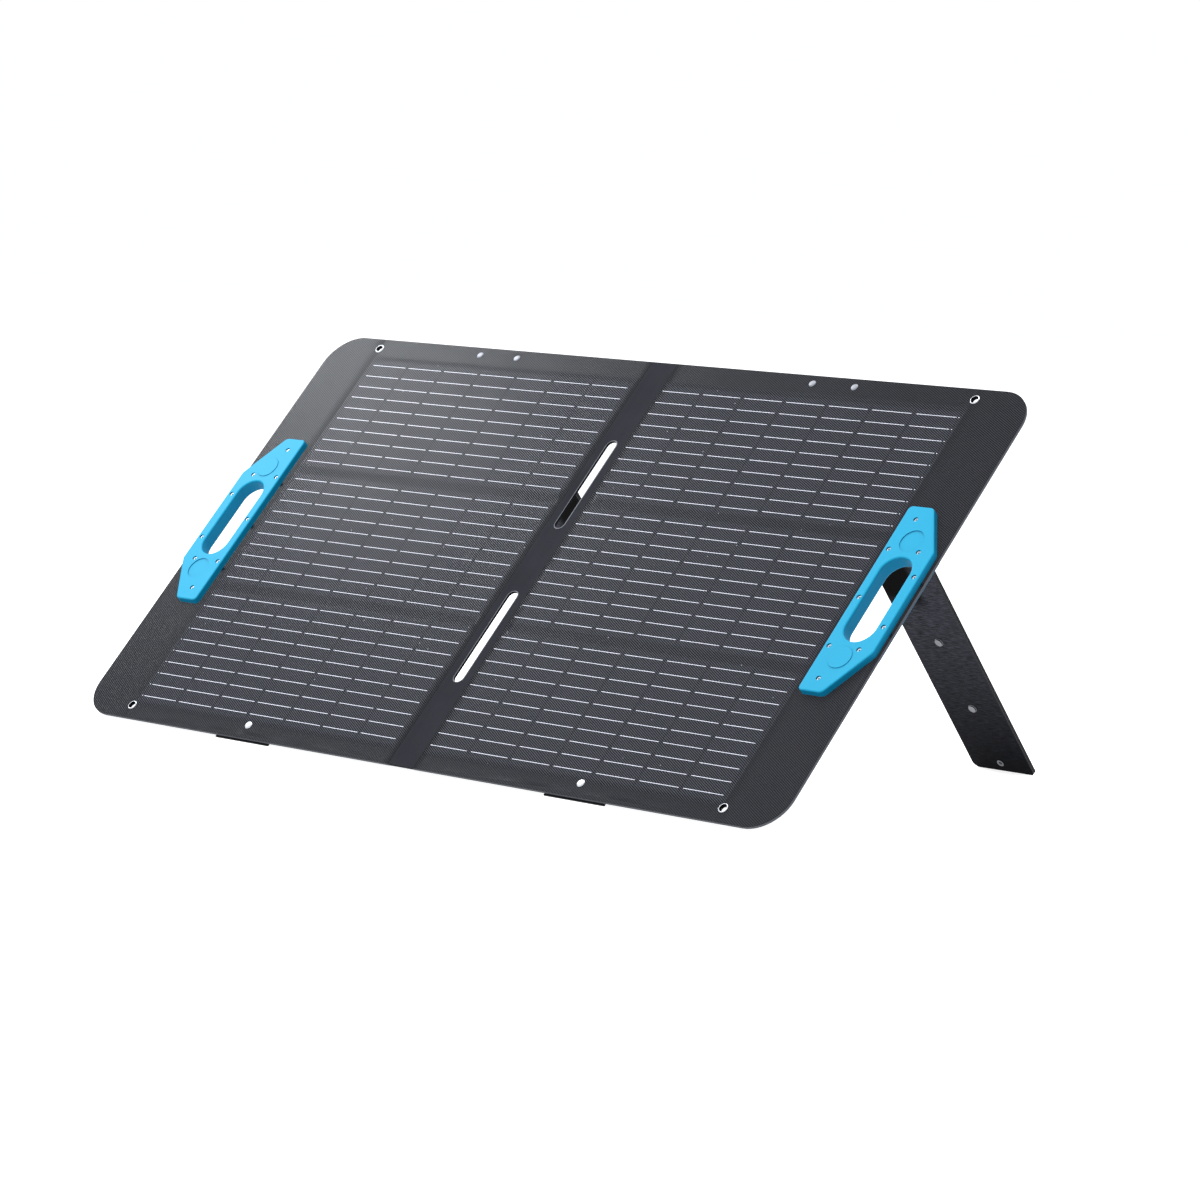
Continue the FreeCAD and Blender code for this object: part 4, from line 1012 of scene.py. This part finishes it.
def even_path(points, step):
    """Adds points so that no run is longer than step."""
    path = [Vector(points[0])]
    for start, end in zip(points, points[1:]):
        a, b = Vector(start), Vector(end)
        count = max(1, math.ceil((b - a).length / step))
        path += [a + (b - a) * (k / count) for k in range(1, count + 1)]
    return path


def strip_top(x, y):
    """The groove between the halves: level with the film at its sides, lower along the middle, ribbed."""
    t = min(1.0, abs(x) / STRIP_HALF)
    groove = -0.12 - 0.75 * (1 - smoothstep(0.35, 1.0, t))
    fade = 1 - smoothstep(0.9, 1.0, t)
    return groove + 0.05 * math.cos(2 * math.pi * x / 2.6) * fade


def slots(radius):
    """Outlines of the two slots along the fold."""
    start, end = SLOT_SPAN
    return [
        stadium(0.0, MID_HEIGHT + start, MID_HEIGHT + end, radius),
        stadium(0.0, MID_HEIGHT - end, MID_HEIGHT - start, radius),
    ]


def joined(item):
    """Bakes the placement of an item into its mesh."""
    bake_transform(item)


def fold_strip():
    """The cloth of the fold, front and back, with the lips of its slots and the jumpers inside."""
    low, high = strip_low, strip_high
    outline = [Vector(p) for p in ((low.x, low.y), (high.x, low.y), (high.x, high.y), (low.x, high.y))]
    holes = slots(SLOT_CUT_RADIUS)

    def cloth(name, material, node, step, top, bottom, gap):
        bm = slab(outline, holes, grid(low.x, high.x, low.y, high.y, step, 9.0), top, bottom, gap)
        item = piece(name, bm, PANEL, None, material, [node])
        joined(item)

    cloth(
        "fold_cloth_front", fold_cloth, "fold_strip_front", 0.65, strip_top,
        lambda x, y: -1.2, 0.25)
    cloth(
        "fold_cloth_back", back_cloth, "fold_strip_back", 2.6, lambda x, y: -2.8,
        lambda x, y: -3.4, 0.8)

    bm = bmesh.new()
    section = [
        (0.0, -0.55), (0.12, -0.25), (0.45, -0.12), (0.9, -0.3), (1.35, -0.62), (1.35, -3.3), (0.9, -3.5),
        (0.3, -3.5), (0.0, -3.3)]
    for loop in range(2):
        rings = []
        for out, z in section:
            rings.append([bm.verts.new((p.x, p.y, z)) for p in slots(SLOT_RADIUS + out)[loop]])
        for one, other in zip(rings, rings[1:] + rings[:1]):
            for k in range(len(one)):
                j = (k + 1) % len(one)
                bm.faces.new((one[k], one[j], other[j], other[k]))
    joined(piece("fold_slot_lips", bm, PANEL, None, slot_edge))

    bm = bmesh.new()
    for low_box, high_box in islands("fold_jumper_ribbons"):
        part = ribbon_mesh([(low_box.y, -2.0), (high_box.y, -2.0)], STRIP_HALF, 0.0, 0.4, 28)
        mesh = bpy.data.meshes.new("jumper")
        part.to_mesh(mesh)
        part.free()
        bm.from_mesh(mesh)
        bpy.data.meshes.remove(mesh)
    joined(piece("fold_jumpers", bm, PANEL, None, busbar, ["fold_jumper_ribbons"]))


def on_leg(distance, above):
    """Panel y and z of a point that lies down the leg and out of its inner face."""
    point = PANEL.inverted() @ (LEG @ Vector((0, -distance, above)))
    return point.y, point.z


def hinge_strip(side):
    """The cloth hinge of a leg, from the mount plate round a small bend and down the leg's inner face."""
    low, high = span(f"{side}_leg_hinge_cloth")
    middle = (low.x + high.x) / 2
    half = (high.x - low.x) / 2
    depth = -PLATE_BACK - HINGE_CLOTH_THICKNESS / 2
    end = on_leg(HINGE_CLOTH_BELOW, HINGE_CLOTH_THICKNESS / 2)
    root = on_leg(0, HINGE_CLOTH_THICKNESS / 2)
    share = (depth - root[1]) / (end[1] - root[1])
    height = root[0] + share * (end[0] - root[0])
    corner = Vector((height, depth))
    up = Vector((hinge_in_panel.y + HINGE_CLOTH_ABOVE, depth))
    upward = (up - corner).normalized()
    downward = (Vector(end) - corner).normalized()
    start = corner + upward * 3.0
    finish = corner + downward * 3.0
    bend = [
        start.lerp(corner, t).lerp(corner.lerp(finish, t), t) for t in (0, 0.2, 0.4, 0.6, 0.8, 1.0)]
    path = even_path([up, bend[0]], 3.0) + bend[1:] + even_path([bend[-1], end], 3.0)[1:]
    item = piece(
        f"{side}_hinge_strip", ribbon_mesh(path, half, middle, HINGE_CLOTH_THICKNESS, 24), PANEL, None,
        hinge_cloth, [f"{side}_leg_hinge_cloth"])
    above = PANEL @ Vector((0, height + 4, depth))
    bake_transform(item)


def strap(side):
    """The strap that sets how far a leg opens, flat at both ends and straight between."""
    low, high = span(f"{side}_angle_strap")
    middle = (low.x + high.x) / 2
    anchor = centres(f"{side}_strap_anchor")[0]
    depth = -THICKNESS - STRAP_THICKNESS / 2
    socket = centres(f"{side}_strap_snap", LEG)[0]
    reach = -socket.y
    path = even_path([
        (anchor.y - STRAP_END, depth), (anchor.y + STRAP_END, depth),
        on_leg(reach - STRAP_END, STRAP_ABOVE_LEG), on_leg(reach + STRAP_END, STRAP_ABOVE_LEG)], 4.0)
    item = piece(
        f"{side}_strap", ribbon_mesh(path, (high.x - low.x) / 2, middle, STRAP_THICKNESS, edge=0.5),
        PANEL, f"{side}_panel", webbing, [f"{side}_angle_strap"])
    length = sum((b - a).length for a, b in zip(path, path[1:]))
    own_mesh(item)


for side in SIDES:
    front_face(side)
    busbars(side)
    back_face(side)
    hem_stitching(side)
    fasteners(side)
    leg_fasteners(side)
    leg_sleeve(side)
    hinge_strip(side)
    strap(side)
fold_strip()


# ---------------- camera, floor and light

LENS, SENSOR = 133.87, 36.0  # millimetres
VIEW_ANGLES = 43.385, 4.515, 3.437  # azimuth, elevation and roll, degrees
VIEW_TARGET = Vector((-0.0320, -0.0359, 0.1908))
VIEW_DISTANCE = 5.4655  # metres
KEY_PLACE, KEY_TARGET = (-2.77, -0.35, 2.50), (-0.25, 0.0, 0.25)
KEY_POWER, KEY_SIZE, KEY_COLOUR = 88, 0.7, (0.93, 0.965, 1.0)
TOP_PLACE, TOP_TARGET = (0.0, 0.5, 4.5), (0.0, 0.0, 0.0)
TOP_POWER, TOP_SIZE = 180, 4.0
WORLD_COLOUR = (1.0, 1.03, 1.09, 1.0)
FLOOR_GLOW = 0.85  # lifts the floor to white


def place_camera():
    """A long lens, well round to the right of the front and slightly rolled."""
    data = bpy.data.cameras.new("camera")
    data.lens = LENS
    data.sensor_width = SENSOR
    camera = bpy.data.objects.new("camera", data)
    bpy.context.scene.collection.objects.link(camera)
    azimuth, elevation, roll = (math.radians(angle) for angle in VIEW_ANGLES)
    flat = math.cos(elevation)
    back = Vector((math.sin(azimuth) * flat, -math.cos(azimuth) * flat, math.sin(elevation)))
    camera.location = VIEW_TARGET + back * VIEW_DISTANCE
    camera.rotation_euler = (
        Matrix.Rotation(azimuth, 3, "Z") @ Matrix.Rotation(math.pi / 2 - elevation, 3, "X")
        @ Matrix.Rotation(roll, 3, "Z")).to_euler()
    bpy.context.scene.camera = camera


def area_light(name, location, target, power, size, colour=(1.0, 1.0, 1.0)):
    """A round area light; power is in watts, size in metres."""
    data = bpy.data.lights.new(name, "AREA")
    data.shape = "DISK"
    data.size = size
    data.energy = power
    data.color = colour
    light = bpy.data.objects.new(name, data)
    light.location = location
    light.rotation_euler = (Vector(target) - Vector(location)).to_track_quat("-Z", "Y").to_euler()
    bpy.context.scene.collection.objects.link(light)
    return light


def floor():
    """A wide, pale floor that fills the view."""
    bm = bmesh.new()
    bmesh.ops.create_grid(bm, x_segments=8, y_segments=8, size=30.0)
    mesh = bpy.data.meshes.new("floor")
    bm.to_mesh(mesh)
    bm.free()
    g = Graph("floor", Matrix.Scale(MM, 4))
    tone = g.noise(0.002, 2.0)
    mesh.materials.append(g.finish(
        g.colour((0.50, 0.50, 0.50), (0.54, 0.54, 0.54), tone), 0.9, Specular_IOR_Level=0.1,
        Emission_Color=(1.0, 1.0, 1.0, 1.0), Emission_Strength=FLOOR_GLOW))
    item = bpy.data.objects.new("floor", mesh)
    bpy.context.scene.collection.objects.link(item)


def world():
    """Even, slightly cool light from all around."""
    data = bpy.data.worlds.new("world")
    data.use_nodes = True
    inputs = data.node_tree.nodes["Background"].inputs
    inputs["Color"].default_value = WORLD_COLOUR
    inputs["Strength"].default_value = 1.0
    bpy.context.scene.world = data


place_camera()
floor()
world()
key = area_light("key", KEY_PLACE, KEY_TARGET, KEY_POWER, KEY_SIZE, KEY_COLOUR)
# the handles cast no shadow in the key light
lit_through = bpy.data.collections.new("lit_through")
for side in SIDES:
    for shell in ("front", "rear"):
        lit_through.objects.link(frame["nodes"][f"{side}_handle_{shell}_shell"])
for entry in lit_through.collection_objects:
    entry.light_linking.link_state = "EXCLUDE"
key.light_linking.blocker_collection = lit_through
area_light("top", TOP_PLACE, TOP_TARGET, TOP_POWER, TOP_SIZE)
bpy.context.scene.view_settings.view_transform = "Standard"
